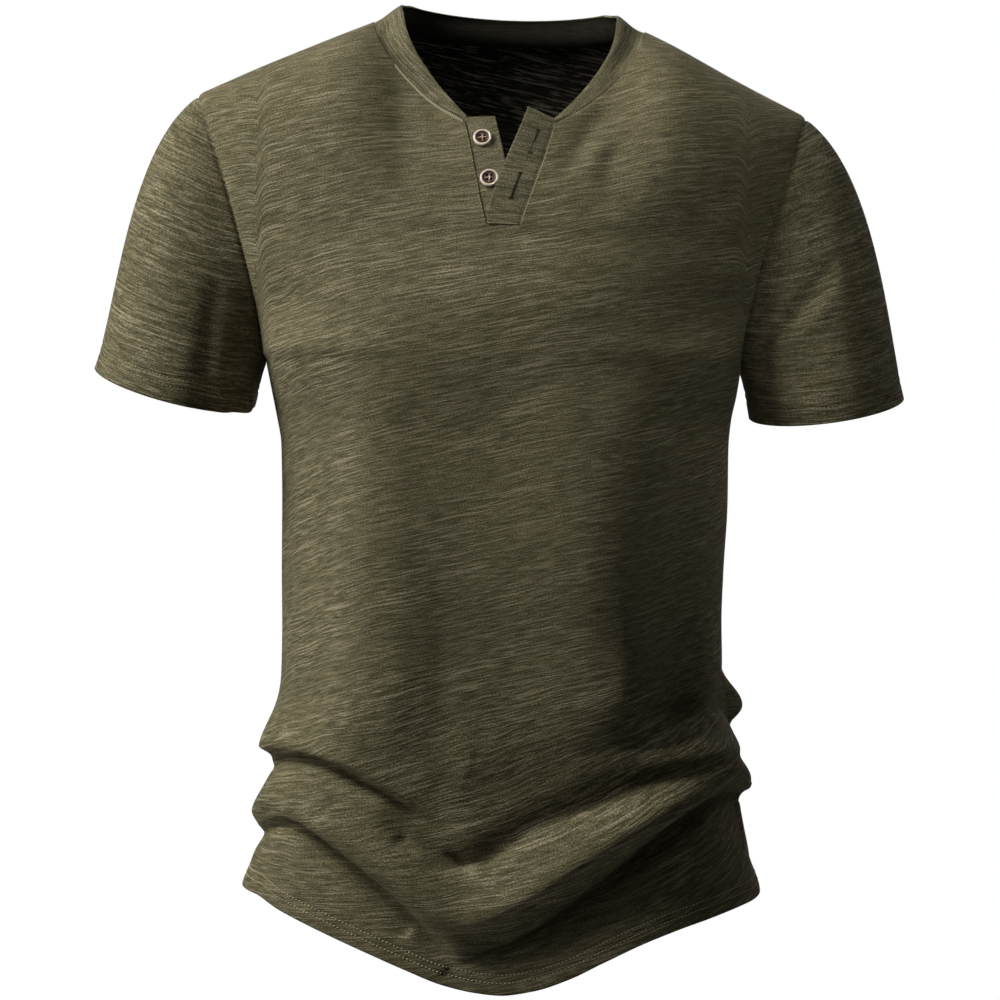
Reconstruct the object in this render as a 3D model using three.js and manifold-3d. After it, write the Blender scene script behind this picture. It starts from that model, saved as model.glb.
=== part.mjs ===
// Short-sleeved henley shirt in olive slub knit, filled out as worn with nobody in it.
// Millimetres, +Z up, front facing -Y, origin level with the neck seam at the shoulders.
import * as THREE from 'three';
import Module from 'manifold-3d';

const wasm = await Module();
wasm.setup();

// Driving dimensions
const WALL = 1.5;
const BAND_WALL = 2.1;
const SEAM_GAP = 0.36;
const HALF_GAP = SEAM_GAP / 2;
const BAND_GAP = 0.6;
const ARC_SCALE = 245;
const UNDERARM_Z = -250;
const YOKE_Z = -155;
const HPS_X = 100;
const TIP_X = 224;
const TIP_Z = -58.5;
const SECTION_POWER = 2.5;
const NECK_DROP = 88;
const NECK_POWER = 1.55;
const BACK_NECK_Z = -5;
const SHOULDER_TILT = -0.0375;
const NECK_SHIFT = 5.7;

// Colours read from the photo
const OLIVE = '#5c573f';
const OLIVE_TRIM = '#625e48';
const BUTTON_BROWN = '#6b4a32';

// Torso sections: height, left and right half widths, front and back depth
const SECTIONS = [
  { z: -720, left: 197, right: 195, front: 119, back: 102 },
  { z: -700, left: 196, right: 194, front: 119, back: 102 },
  { z: -635, left: 192, right: 190, front: 118.5, back: 101 },
  { z: -612, left: 184, right: 183, front: 118, back: 100 },
  { z: -585, left: 177, right: 177.5, front: 117, back: 99 },
  { z: -550, left: 171, right: 171.5, front: 115, back: 97 },
  { z: -515, left: 166, right: 166, front: 113, back: 94 },
  { z: -480, left: 163.6, right: 163.6, front: 110.5, back: 91 },
  { z: -442, left: 163, right: 162.3, front: 108, back: 88 },
  { z: -400, left: 163.3, right: 164, front: 107, back: 88 },
  { z: -352, left: 163, right: 167, front: 107, back: 93 },
  { z: -310, left: 163.5, right: 167.7, front: 108.3, back: 100 },
  { z: -290, left: 166.7, right: 169.6, front: 110, back: 103 },
  { z: -270, left: 170.5, right: 173.5, front: 113, back: 106 },
  { z: -250, left: 174, right: 176, front: 116, back: 109 },
];

// Hem height round the shirt: turn runs 0 at centre front, 1 at the side seam, 2 at centre back
const HEM = [
  { turn: -2.0, z: -697 },
  { turn: -1.72, z: -690 },
  { turn: -1.45, z: -667 },
  { turn: -1.2, z: -640 },
  { turn: -1.0, z: -631.5 },
  { turn: -0.77, z: -634 },
  { turn: -0.646, z: -643.9 },
  { turn: -0.545, z: -653.1 },
  { turn: -0.397, z: -667.9 },
  { turn: -0.264, z: -681.8 },
  { turn: -0.168, z: -691.3 },
  { turn: -0.077, z: -696.7 },
  { turn: 0, z: -698.8 },
  { turn: 0.087, z: -695.8 },
  { turn: 0.185, z: -687.8 },
  { turn: 0.28, z: -676.6 },
  { turn: 0.414, z: -662.1 },
  { turn: 0.55, z: -651.5 },
  { turn: 0.76, z: -641 },
  { turn: 1.0, z: -636.5 },
  { turn: 1.2, z: -643 },
  { turn: 1.45, z: -668 },
  { turn: 1.72, z: -690 },
  { turn: 2.0, z: -697 },
];

// Folds on the body below the arms: path of turn and height, with crest height (minus is a
// valley) and the reach of the fold above and below its path
const BODY_FOLDS = [
  // Left hip: upper roll and the crease under it
  { at: [[-1.35, -516, 2], [-1, -528, 12], [-0.815, -523, 9], [-0.628, -524, 8],
    [-0.509, -528.5, 7], [-0.405, -537.7, 6], [-0.307, -549.9, 4], [-0.228, -562.2, 2]], up: 24, down: 6 },
  { at: [[-1.3, -540, -1], [-1, -547, -2], [-0.847, -537.4, -7],
    [-0.666, -534.5, -10], [-0.541, -537.3, -10], [-0.434, -547, -10],
    [-0.336, -557.7, -9], [-0.257, -570, -6], [-0.181, -582.5, -2]], up: 4, down: 7 },
  // Left hip: lower roll, running on as the belly swag to the right hip
  { at: [[-1.4, -568, 2], [-1, -577, 9], [-0.785, -563.7, 8], [-0.639, -569.1, 8],
    [-0.52, -578.9, 8], [-0.416, -592, 8], [-0.32, -608.2, 9], [-0.228, -626.1, 10],
    [-0.142, -640.6, 11], [-0.06, -641.2, 12], [0.022, -632.8, 12],
    [0.107, -620.2, 12], [0.194, -606.3, 12], [0.284, -592.6, 12],
    [0.377, -580.4, 12], [0.476, -568.5, 12], [0.589, -557, 12], [0.744, -543.5, 12],
    [1, -556, 14], [1.2, -562, 8], [1.5, -580, 2]], up: 15, down: 10 },
  // Crease under the lower roll
  { at: [[-1.35, -590, -2], [-1, -596, -4], [-0.752, -584, -8], [-0.627, -584.5, -10],
    [-0.507, -599.9, -13], [-0.404, -615.8, -14], [-0.31, -632.8, -14],
    [-0.224, -652.8, -12], [-0.141, -675.1, -8], [-0.065, -690.4, -3]], up: 5, down: 13 },
  // Broad hollow over the swag and its sharp lower edge
  { at: [[-0.246, -547.6, -3], [-0.153, -569.8, -5], [-0.065, -571.8, -6],
    [0.024, -561.3, -6], [0.113, -550.8, -6], [0.22, -541.9, -5], [0.36, -537.4, -3]], up: 34, down: 26 },
  { at: [[-0.308, -570.2, -3], [-0.238, -588.2, -8], [-0.148, -605.5, -10],
    [-0.062, -606.2, -10], [0.023, -592.8, -9], [0.111, -581, -9],
    [0.199, -572.7, -9], [0.29, -564.5, -9], [0.385, -557.3, -8], [0.485, -549.5, -7],
    [0.639, -543.4, -4]], up: 14, down: 8 },
  // Deep valley under the swag on the right
  { at: [[1.25, -592, -2], [1, -588, -2], [0.986, -561.3, -5], [0.678, -562.5, -9],
    [0.581, -568.3, -12], [0.469, -585.4, -15], [0.37, -601.5, -16],
    [0.277, -617.8, -16], [0.188, -632.3, -15], [0.105, -646.9, -13],
    [0.022, -658.1, -11], [-0.06, -667.9, -8], [-0.141, -684.2, -3]], up: 9, down: 27 },
  // Right hip: dark pocket, small roll and the crease under it
  { at: [[1, -507, -3], [0.885, -500, -7], [0.664, -509.4, -10], [0.575, -515.6, -10],
    [0.499, -519.2, -9], [0.429, -521.6, -6], [0.338, -524.7, -2]], up: 22, down: 7 },
  { at: [[1, -521, 3], [0.862, -526.7, 7], [0.675, -528.2, 7], [0.585, -532.1, 7],
    [0.498, -536.9, 5], [0.406, -542.6, 2]], up: 8, down: 7 },
  // Bulge of the back panel beyond the right side seam
  { at: [[1.06, -502, 13], [1.14, -499, 19], [1.3, -492, 12], [1.55, -486, 3]], up: 17, down: 14 },
  // Upright drapes of the front: flat middle with ridges and drawn-in flanks
  { at: [[-0.34, -289.8, 1], [-0.346, -350, 4], [-0.339, -420.9, 5],
    [-0.32, -484.4, 4], [-0.28, -533.6, 2]], up: 14, down: 14 },
  { at: [[-0.51, -278.8, -3], [-0.532, -335.7, -8], [-0.532, -399.9, -10],
    [-0.509, -464, -9], [-0.475, -506.3, -3]], up: 34, down: 34 },
  { at: [[-0.202, -279.4, -1], [-0.209, -335.9, -4], [-0.203, -406.6, -6],
    [-0.2, -484.2, -7], [-0.187, -540.4, -4]], up: 17, down: 17 },
  { at: [[0.23, -279.4, 1], [0.238, -350, 3], [0.232, -420.8, 4], [0.244, -477.2, 3]], up: 18, down: 18 },
  { at: [[0.508, -264.7, -4], [0.513, -321.5, -10], [0.496, -392.7, -12],
    [0.477, -463.8, -11], [0.46, -509.8, -4]], up: 36, down: 36 },
  // Back panel: hollow of the waist, swags and hip rolls
  { at: [[2, -330, -2], [2, -430, -5], [1.98, -500, -3]], up: 30, down: 30 },
  { at: [[-1.62, -330, -1], [-1.58, -420, -4], [-1.6, -500, -3]], up: 24, down: 24 },
  { at: [[-1.2, -470, 3], [-1.5, -492, 8], [-1.8, -508, 9], [-2, -512, 9]], up: 20, down: 11 },
  { at: [[1.3, -474, 2], [1.62, -496, 7], [1.85, -508, 9], [2, -512, 9]], up: 20, down: 11 },
  { at: [[-1.25, -496, -3], [-1.5, -515, -7], [-1.78, -530, -8], [-2, -534, -8]], up: 8, down: 17 },
  { at: [[1.5, -520, -5], [1.75, -531, -8], [2, -534, -8]], up: 8, down: 17 },
  { at: [[-1.4, -575, 4], [-1.65, -592, 8], [-2, -600, 8]], up: 20, down: 12 },
  { at: [[1.45, -580, 4], [1.75, -596, 8], [2, -600, 8]], up: 20, down: 12 },
  { at: [[-1.3, -600, -4], [-1.6, -618, -8], [-1.85, -624, -6]], up: 8, down: 17 },
  { at: [[1.35, -604, -5], [1.6, -618, -8], [1.85, -626, -6]], up: 8, down: 17 },
];

// Collar creases of the front and the blade folds of the back, paths in x and z
const FRONT_FOLDS = [
  { at: [[64, -72, -2], [52, -92, -3], [42, -110, -1]], reach: 8 },
  { at: [[78, -80, 1], [64, -100, 2.5], [54, -124, 1]], reach: 10 },
  { at: [[-62, -58, -2], [-50, -78, -2.5], [-40, -96, -1]], reach: 8 },
  { at: [[-190, -175, -2], [-150, -215, -3], [-110, -238, -1]], reach: 14 },
  { at: [[192, -180, -2], [150, -214, -3], [112, -238, -1]], reach: 14 },
  { at: [[-205, -95, 1], [-185, -140, 2.5], [-178, -190, 1]], reach: 12 },
];
const BACK_FOLDS = [
  { at: [[-60, -40, 1], [-30, -75, -2.5], [0, -90, -3], [30, -75, -2.5], [60, -40, 1]], reach: 14 },
  { at: [[-188, -170, -2], [-150, -205, -4], [-105, -232, -1.5]], reach: 15 },
  { at: [[190, -172, -2], [150, -208, -4], [108, -234, -1.5]], reach: 15 },
  { at: [[-200, -110, 1], [-160, -150, 3], [-120, -190, 1]], reach: 17 },
  { at: [[202, -112, 1], [165, -150, 3], [122, -190, 1]], reach: 17 },
];

// Sleeve folds: around runs 0 under the arm, 0.25 front, 0.5 top, 0.75 back; along 0 to 1
const LEFT_SLEEVE_FOLDS = [
  { at: [[0.36, 0.28, -1], [0.33, 0.55, -4], [0.33, 0.9, -2]], reach: 10 },
  { at: [[0.2, 0.3, -2], [0.22, 0.6, -4.5], [0.25, 0.92, -2]], reach: 9 },
  { at: [[0.27, 0.35, 2], [0.27, 0.6, 4], [0.29, 0.85, 2]], reach: 8 },
  { at: [[0.66, 0.3, -2], [0.7, 0.6, -4], [0.72, 0.9, -2]], reach: 11 },
  { at: [[0.8, 0.35, 2], [0.79, 0.65, 3.5], [0.78, 0.9, 1]], reach: 10 },
];
const RIGHT_SLEEVE_FOLDS = [
  { at: [[0.12, 0.3, -2], [0.2, 0.38, -5], [0.3, 0.4, -3.5], [0.36, 0.42, -1]], reach: 9 },
  { at: [[0.16, 0.62, 2], [0.24, 0.55, 4], [0.34, 0.5, 2]], reach: 11 },
  { at: [[0.4, 0.3, -1], [0.36, 0.6, -3], [0.35, 0.9, -1.5]], reach: 12 },
  { at: [[0.68, 0.3, -2], [0.72, 0.6, -4], [0.74, 0.9, -2]], reach: 11 },
  { at: [[0.82, 0.3, 2], [0.8, 0.6, 3.5], [0.78, 0.9, 1]], reach: 10 },
];

// Sleeve hems: centre, inner and outer ends seen from the front, depth and lean of the cuff
const CUFFS = {
  left: { centre: [-242, 4, -266.5], across: [118, 0, -33], half: 61, depth: 66, lean: 11 },
  right: { centre: [240, 4, -281.5], across: [-114, 0, -17], half: 57.6, depth: 66, lean: 11 },
};

// Front placket strips: left and right end of each row in x and z, bottom row first
const UNDERLAP = [
  { left: [-10.35, -154.5], right: [11.6, -154.5] },
  { left: [-21.6, -114.8], right: [0.4, -114.4] },
  { left: [-32.3, -75.9], right: [-10.8, -74.4] },
];
const OVERLAP = [
  { left: [-10.3, -154.6], right: [12.4, -154.6] },
  { left: [-10.9, -147], right: [14.4, -146.8] },
  { left: [-1.6, -110], right: [23.9, -111.5] },
  { left: [12.9, -69.2], right: [31.8, -75.3] },
];
const BUTTONS = [
  { name: 'button_upper', x: -19.2, z: -92 },
  { name: 'button_lower', x: -11.6, z: -121.7 },
];

// Neckband: turn from the left placket (0) over the back (0.5) to the right placket (1)
const BAND = [
  { turn: 0, width: 10, inward: 0.4, back: 0.45, up: 0.72 },
  { turn: 0.06, width: 14, inward: 0.66, back: 0.35, up: 0.62 },
  { turn: 0.14, width: 20, inward: 0.8, back: 0.2, up: 0.56 },
  { turn: 0.22, width: 24, inward: 0.86, back: 0.1, up: 0.5 },
  { turn: 0.29, width: 24, inward: 0.72, back: 0, up: 0.66 },
  { turn: 0.37, width: 21, inward: 0.25, back: -0.08, up: 0.96 },
  { turn: 0.5, width: 20, inward: 0, back: -0.12, up: 0.99 },
  { turn: 0.63, width: 21, inward: -0.25, back: -0.08, up: 0.96 },
  { turn: 0.71, width: 24, inward: -0.72, back: 0, up: 0.66 },
  { turn: 0.78, width: 24, inward: -0.86, back: 0.1, up: 0.5 },
  { turn: 0.86, width: 19, inward: -0.8, back: 0.2, up: 0.56 },
  { turn: 0.94, width: 13, inward: -0.66, back: 0.35, up: 0.62 },
  { turn: 1, width: 9, inward: -0.4, back: 0.45, up: 0.72 },
];

// Small helpers
const clamp = (v, lo, hi) => Math.min(hi, Math.max(lo, v));
const mix = (a, b, t) => a + (b - a) * t;
const smooth = (lo, hi, v) => {
  const t = clamp((v - lo) / (hi - lo), 0, 1);
  return t * t * (3 - 2 * t);
};

// Reads a column of a table with a smooth curve that never overshoots its rows
function lookUp(table, key, at, name) {
  const n = table.length;
  if (at <= table[0][key]) return table[0][name];
  if (at >= table[n - 1][key]) return table[n - 1][name];
  let i = 0;
  while (table[i + 1][key] < at) i += 1;
  const slope = (k) => (table[k + 1][name] - table[k][name]) / (table[k + 1][key] - table[k][key]);
  const tangent = (k) => {
    if (k === 0 || k === n - 1) return slope(k === 0 ? 0 : n - 2);
    const a = slope(k - 1);
    const b = slope(k);
    return a * b <= 0 ? 0 : (2 * a * b) / (a + b);
  };
  const h = table[i + 1][key] - table[i][key];
  const t = (at - table[i][key]) / h;
  const t2 = t * t;
  const t3 = t2 * t;
  return (2 * t3 - 3 * t2 + 1) * table[i][name] + (t3 - 2 * t2 + t) * h * tangent(i)
    + (3 * t2 - 2 * t3) * table[i + 1][name] + (t3 - t2) * h * tangent(i + 1);
}

// Turns a fold path into a fine run of points with its height
function finePath(at, scaleA, scaleB) {
  const out = [];
  const n = at.length;
  const pick = (k) => at[clamp(k, 0, n - 1)];
  for (let i = 0; i < n - 1; i += 1) {
    const steps = 5;
    for (let s = 0; s < steps + (i === n - 2 ? 1 : 0); s += 1) {
      const t = s / steps;
      const row = [0, 1, 2].map((c) => {
        const p0 = pick(i - 1)[c];
        const p1 = pick(i)[c];
        const p2 = pick(i + 1)[c];
        const p3 = pick(i + 2)[c];
        return 0.5 * (2 * p1 + (p2 - p0) * t + (2 * p0 - 5 * p1 + 4 * p2 - p3) * t * t
          + (3 * p1 - p0 - 3 * p2 + p3) * t * t * t);
      });
      out.push([row[0] * scaleA, row[1] * scaleB, row[2]]);
    }
  }
  return out;
}

// Height of one fold at a point, from the nearest place on its path
function foldHeight(path, up, down, a, b) {
  let best = Infinity;
  let height = 0;
  let side = 0;
  let beyond = 0;
  for (let i = 0; i < path.length - 1; i += 1) {
    const [ax, ay, ah] = path[i];
    const [bx, by, bh] = path[i + 1];
    const dx = bx - ax;
    const dy = by - ay;
    const raw = ((a - ax) * dx + (b - ay) * dy) / (dx * dx + dy * dy);
    const t = clamp(raw, 0, 1);
    const qx = a - ax - dx * t;
    const qy = b - ay - dy * t;
    const d = qx * qx + qy * qy;
    if (d < best) {
      best = d;
      height = mix(ah, bh, t);
      side = Math.abs(dx) > Math.abs(dy) ? Math.sign(dx) * (dx * qy - dy * qx) : 1;
      beyond = (i === 0 && raw < 0) || (i === path.length - 2 && raw > 1) ? 1 : 0;
    }
  }
  const reach = beyond ? (up + down) / 2 : (side >= 0 ? up : down);
  return height * Math.exp(-best / (reach * reach));
}

// A fold sharper than the mesh can show is widened to this reach and made as much lower
const LEAST_REACH = 13;
const readyFolds = (folds, scaleA, scaleB) => folds.map((f) => {
  const up = Math.max(f.up ?? f.reach, LEAST_REACH);
  const down = Math.max(f.down ?? f.reach, LEAST_REACH);
  const keep = ((f.up ?? f.reach) + (f.down ?? f.reach)) / (up + down);
  const path = finePath(f.at, scaleA, scaleB).map(([a, b, h]) => [a, b, h * Math.sqrt(keep)]);
  return { path, up, down };
});
const bodyFolds = readyFolds(BODY_FOLDS, ARC_SCALE, 1);
const frontFolds = readyFolds(FRONT_FOLDS, 1, 1);
const backFolds = readyFolds(BACK_FOLDS, 1, 1);

function sumFolds(folds, a, b) {
  let sum = 0;
  for (const f of folds) sum += foldHeight(f.path, f.up, f.down, a, b);
  return sum;
}

// Body folds wrap round the shirt, so a point is also tried one whole turn away
function bodyRelief(turn, z) {
  if (z > UNDERARM_Z) return 0;
  const fade = smooth(UNDERARM_Z, UNDERARM_Z - 45, z);
  const here = sumFolds(bodyFolds, turn * ARC_SCALE, z);
  const away = sumFolds(bodyFolds, (turn - 4 * Math.sign(turn || 1)) * ARC_SCALE, z);
  return fade * (Math.abs(turn) > 1 ? here + away : here);
}

// Quarter of a torso section, from the middle (0) to the side seam (1) by length along it
function quarter(half, depth, share) {
  const steps = 36;
  const at = (k) => {
    const a = (k / steps) * Math.PI / 2;
    const s = Math.sin(a);
    const c = Math.cos(a);
    const r = ((s / half) ** SECTION_POWER + (c / depth) ** SECTION_POWER) ** (-1 / SECTION_POWER);
    return [r * s, r * c];
  };
  const lengths = [0];
  for (let k = 1; k <= steps; k += 1) {
    const [x0, y0] = at(k - 1);
    const [x1, y1] = at(k);
    lengths.push(lengths[k - 1] + Math.hypot(x1 - x0, y1 - y0));
  }
  const target = share * lengths[steps];
  let k = 0;
  while (k < steps - 1 && lengths[k + 1] < target) k += 1;
  return at(k + (target - lengths[k]) / (lengths[k + 1] - lengths[k]));
}

// Point of the lower body from turn and height, before folds
function lowerBase(anyTurn, z) {
  const turn = anyTurn > 2 ? anyTurn - 4 : (anyTurn < -2 ? anyTurn + 4 : anyTurn);
  const side = turn < 0 ? 'left' : 'right';
  const whole = Math.abs(turn);
  const front = whole <= 1;
  const half = lookUp(SECTIONS, 'z', z, side);
  const depth = lookUp(SECTIONS, 'z', z, front ? 'front' : 'back');
  const [x, y] = quarter(half, depth, front ? whole : 2 - whole);
  return new THREE.Vector3(turn < 0 ? -x : x, front ? -y : y, z);
}

function lowerPoint(turn, z) {
  const p = lowerBase(turn, z);
  const step = 0.02;
  const along = lowerBase(turn + step, z).sub(lowerBase(turn - step, z));
  const normal = new THREE.Vector3(along.y, -along.x, 0).normalize();
  const lift = bodyRelief(turn, z);
  p.addScaledVector(normal, lift);
  p.z -= 0.22 * Math.max(0, lift) * smooth(-470, -520, z);
  return p;
}

// Shoulder pose: the seen lean of the shoulders and the shift of the neck
function pose(p) {
  p.z += SHOULDER_TILT * p.x * smooth(-400, -90, p.z);
  p.x += NECK_SHIFT * smooth(-160, -75, p.z) * (1 - smooth(100, 190, Math.abs(p.x)));
  return p;
}

// Armhole edge: half width and the depth of its front and back edges
const armholeHalf = (z) => 175 + 49 * clamp((z - UNDERARM_Z) / (TIP_Z - UNDERARM_Z), 0, 1) ** 1.38;
function armholeDepth(z, full) {
  if (z >= YOKE_Z - 5) return full;
  const q = clamp((YOKE_Z - 5 - z) / (YOKE_Z - 5 - UNDERARM_Z), 0, 1);
  return full * Math.sqrt(1 - q * q);
}
// Ridge line of the shoulders, carried over the open neck by a smooth arch
const SHOULDER_SLOPE = TIP_Z / (TIP_X - HPS_X);
function shoulderLine(x) {
  const w = Math.abs(x);
  if (w >= HPS_X) return SHOULDER_SLOPE * (w - HPS_X);
  return -SHOULDER_SLOPE * (HPS_X / 2) * (1 - (w / HPS_X) ** 2);
}

// Depth of the upper body at its middle
const MIDDLE = [
  { z: -270, front: 113, back: 106 },
  { z: -250, front: 116, back: 109 },
  { z: -215, front: 117.5, back: 112 },
  { z: -185, front: 111, back: 113 },
  { z: -155, front: 101.5, back: 112 },
  { z: 60, front: 101.5, back: 112 },
];

// Depth of the upper body at x and z, before folds
function upperDepth(x, z, face) {
  const w = clamp(Math.abs(x) / armholeHalf(z), 0, 1);
  const middle = lookUp(MIDDLE, 'z', z, face);
  const edge = armholeDepth(z, face === 'front' ? 45 : 52);
  const flat = mix(0.4, 1, smooth(UNDERARM_Z, UNDERARM_Z + 48, z));
  const bow = edge + (middle - edge) * (1 - w ** SECTION_POWER) ** flat;
  const t = clamp((z - YOKE_Z) / (shoulderLine(x) - YOKE_Z), 0, 1);
  const round = face === 'front'
    ? mix(1.25, 2.1, smooth(70, 130, Math.abs(x)))
    : mix(2.3, 2.1, smooth(40, 130, Math.abs(x)));
  return bow * (1 - t ** round) ** (1 / round);
}

function upperPoint(x, z, face, lift = 0) {
  const sign = face === 'front' ? -1 : 1;
  const folds = face === 'front' ? frontFolds : backFolds;
  const edgeFade = smooth(0, 26, armholeHalf(z) - Math.abs(x)) * smooth(0, 20, shoulderLine(x) - z);
  const relief = sumFolds(folds, x, z) * edgeFade * smooth(UNDERARM_Z, UNDERARM_Z + 20, z);
  const at = (px, pz) => new THREE.Vector3(px, sign * upperDepth(px, pz, face), pz);
  const p = at(x, z);
  if (relief === 0 && lift === 0) return pose(p);
  const du = at(x + 1, z).sub(at(x - 1, z));
  const dz = at(x, z + 1).sub(at(x, z - 1));
  const normal = du.cross(dz).multiplyScalar(-sign).normalize();
  return pose(p.addScaledVector(normal, relief + lift));
}

// Neck seam seen from the front, on the front panel for |x| up to the shoulder
const neckZ = (x) => -NECK_DROP * (1 - (Math.abs(x) / HPS_X) ** NECK_POWER) ** (1 / NECK_POWER);
// Back neck seam, run by share from the left shoulder (0) to the right (1)
function backNeck(share) {
  const a = Math.PI * (1 - share);
  const x = HPS_X * Math.cos(a);
  return [x, BACK_NECK_Z * Math.sin(a) ** 2];
}

// Column plan: shoulder, neck and placket columns counted from the armhole inward
const SHOULDER_COLS = 8;
const NECK_COLS = 8;
const NOTCH_COLS = 4;
const SIDE_COLS = SHOULDER_COLS + NECK_COLS;
const COLS = 2 * SIDE_COLS + NOTCH_COLS;
const NOTCH_TOP = 32.7;
const NOTCH_BOTTOM = { left: -10.9, right: 12.9 };

// Rows: lower body from hem to underarm by share, then heights, then shares of the yoke
const LOWER_ROWS = [0, 0.025, 0.05, 0.075, 0.1, 0.125, 0.15, 0.175, 0.2, 0.225, 0.25, 0.275, 0.3,
  0.33, 0.37, 0.43, 0.51, 0.6, 0.7, 0.79, 0.87, 0.94, 1];
const CHEST_Z = [-247, -241, -231, -216, -197, -176, -155];
const YOKE_ROWS = [0.12, 0.25, 0.38, 0.5, 0.61, 0.71, 0.8, 0.87, 0.925, 0.965, 1];

// Columns of the yoke by share of the row at the placket bottom
function yokeX(col) {
  const half = armholeHalf(YOKE_Z);
  if (col <= SIDE_COLS) return mix(-half, NOTCH_BOTTOM.left, (col / SIDE_COLS) ** 0.96);
  if (col < SIDE_COLS + NOTCH_COLS) {
    return mix(NOTCH_BOTTOM.left, NOTCH_BOTTOM.right, (col - SIDE_COLS) / NOTCH_COLS);
  }
  return mix(half, NOTCH_BOTTOM.right, ((COLS - col) / SIDE_COLS) ** 0.96);
}

// Top edge of a yoke column: along the shoulder seam, then along the neck seam
function topEdge(col, face) {
  const left = col <= COLS / 2;
  const k = left ? col : COLS - col;
  const sign = left ? -1 : 1;
  if (k <= SHOULDER_COLS) {
    const x = mix(TIP_X, HPS_X, k / SHOULDER_COLS);
    return [sign * x, shoulderLine(x)];
  }
  if (face === 'front') {
    const share = (k - SHOULDER_COLS) / NECK_COLS;
    const x = mix(HPS_X, NOTCH_TOP, share ** 1.35);
    return [sign * x, neckZ(x)];
  }
  const share = (k - SHOULDER_COLS) / (COLS - 2 * SHOULDER_COLS);
  const [x, z] = backNeck(share);
  return [left ? x : -x, z];
}

function yokePoint(col, t, face) {
  const left = col <= COLS / 2;
  const sign = left ? -1 : 1;
  const reach = face === 'back' ? COLS / 2 : SIDE_COLS;
  const share = clamp((left ? col : COLS - col) / reach, 0, 1);
  const bottom = [yokeX(col), YOKE_Z];
  const top = topEdge(col, face);
  const edgeZ = mix(YOKE_Z, TIP_Z, t);
  const edgeX = sign * armholeHalf(edgeZ);
  const straight = mix(sign * armholeHalf(YOKE_Z), sign * TIP_X, t);
  const x = mix(bottom[0], top[0], t) + (1 - share) * (edgeX - straight);
  return [x, mix(bottom[1], top[1], t)];
}

// One grid row of a panel: outer points for all columns
function panelRows(face) {
  const sign = face === 'front' ? 1 : -1;
  const rows = [];
  const evenShare = (col) => (2 * col) / COLS - 1;
  const yokeShare = (col) => clamp(yokeX(col) / armholeHalf(YOKE_Z), -1, 1);
  const turnOf = (share) => (face === 'front' ? share : (share < 0 ? -2 - share : 2 - share));
  for (const r of LOWER_ROWS) {
    const row = [];
    for (let c = 0; c <= COLS; c += 1) {
      const share = mix(evenShare(c), yokeShare(c), smooth(0.55, 1, r) * 0.35);
      const turn = turnOf(share === 0 && face === 'back' ? 1e-6 : share);
      const hem = lookUp(HEM, 'turn', turn, 'z');
      const z = mix(hem, UNDERARM_Z, r);
      row.push(pose(lowerPoint(turn, z)));
    }
    rows.push(row);
  }
  const underarm = [];
  for (let c = 0; c <= COLS; c += 1) {
    const share = mix(evenShare(c), yokeShare(c), 0.35);
    const p = lowerBase(turnOf(share), UNDERARM_Z);
    underarm.push(clamp(p.x / armholeHalf(UNDERARM_Z), -1, 1));
  }
  for (const z of CHEST_Z) {
    const row = [];
    const t = smooth(UNDERARM_Z, YOKE_Z, z);
    for (let c = 0; c <= COLS; c += 1) {
      const w = c === 0 ? -1 : (c === COLS ? 1 : mix(underarm[c], yokeShare(c), t));
      row.push(upperPoint(w * armholeHalf(z), z, face));
    }
    rows.push(row);
  }
  for (const t of YOKE_ROWS) {
    const row = [];
    for (let c = 0; c <= COLS; c += 1) {
      const [x, z] = yokePoint(c, t, face);
      row.push(upperPoint(x, z, face));
    }
    rows.push(row);
  }
  return { rows, sign };
}

// Normals of a grid of points, outward for the given winding sign
function gridNormals(rows, sign, keep) {
  const normals = rows.map((row) => row.map(() => new THREE.Vector3()));
  for (let r = 0; r < rows.length - 1; r += 1) {
    for (let c = 0; c < rows[r].length - 1; c += 1) {
      if (!keep(r, c)) continue;
      const d1 = rows[r + 1][c + 1].clone().sub(rows[r][c]);
      const d2 = rows[r + 1][c].clone().sub(rows[r][c + 1]);
      const n = d1.cross(d2).multiplyScalar(sign);
      for (const [a, b] of [[r, c], [r + 1, c], [r, c + 1], [r + 1, c + 1]]) normals[a][b].add(n);
    }
  }
  for (const row of normals) for (const n of row) n.normalize();
  return normals;
}

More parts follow.
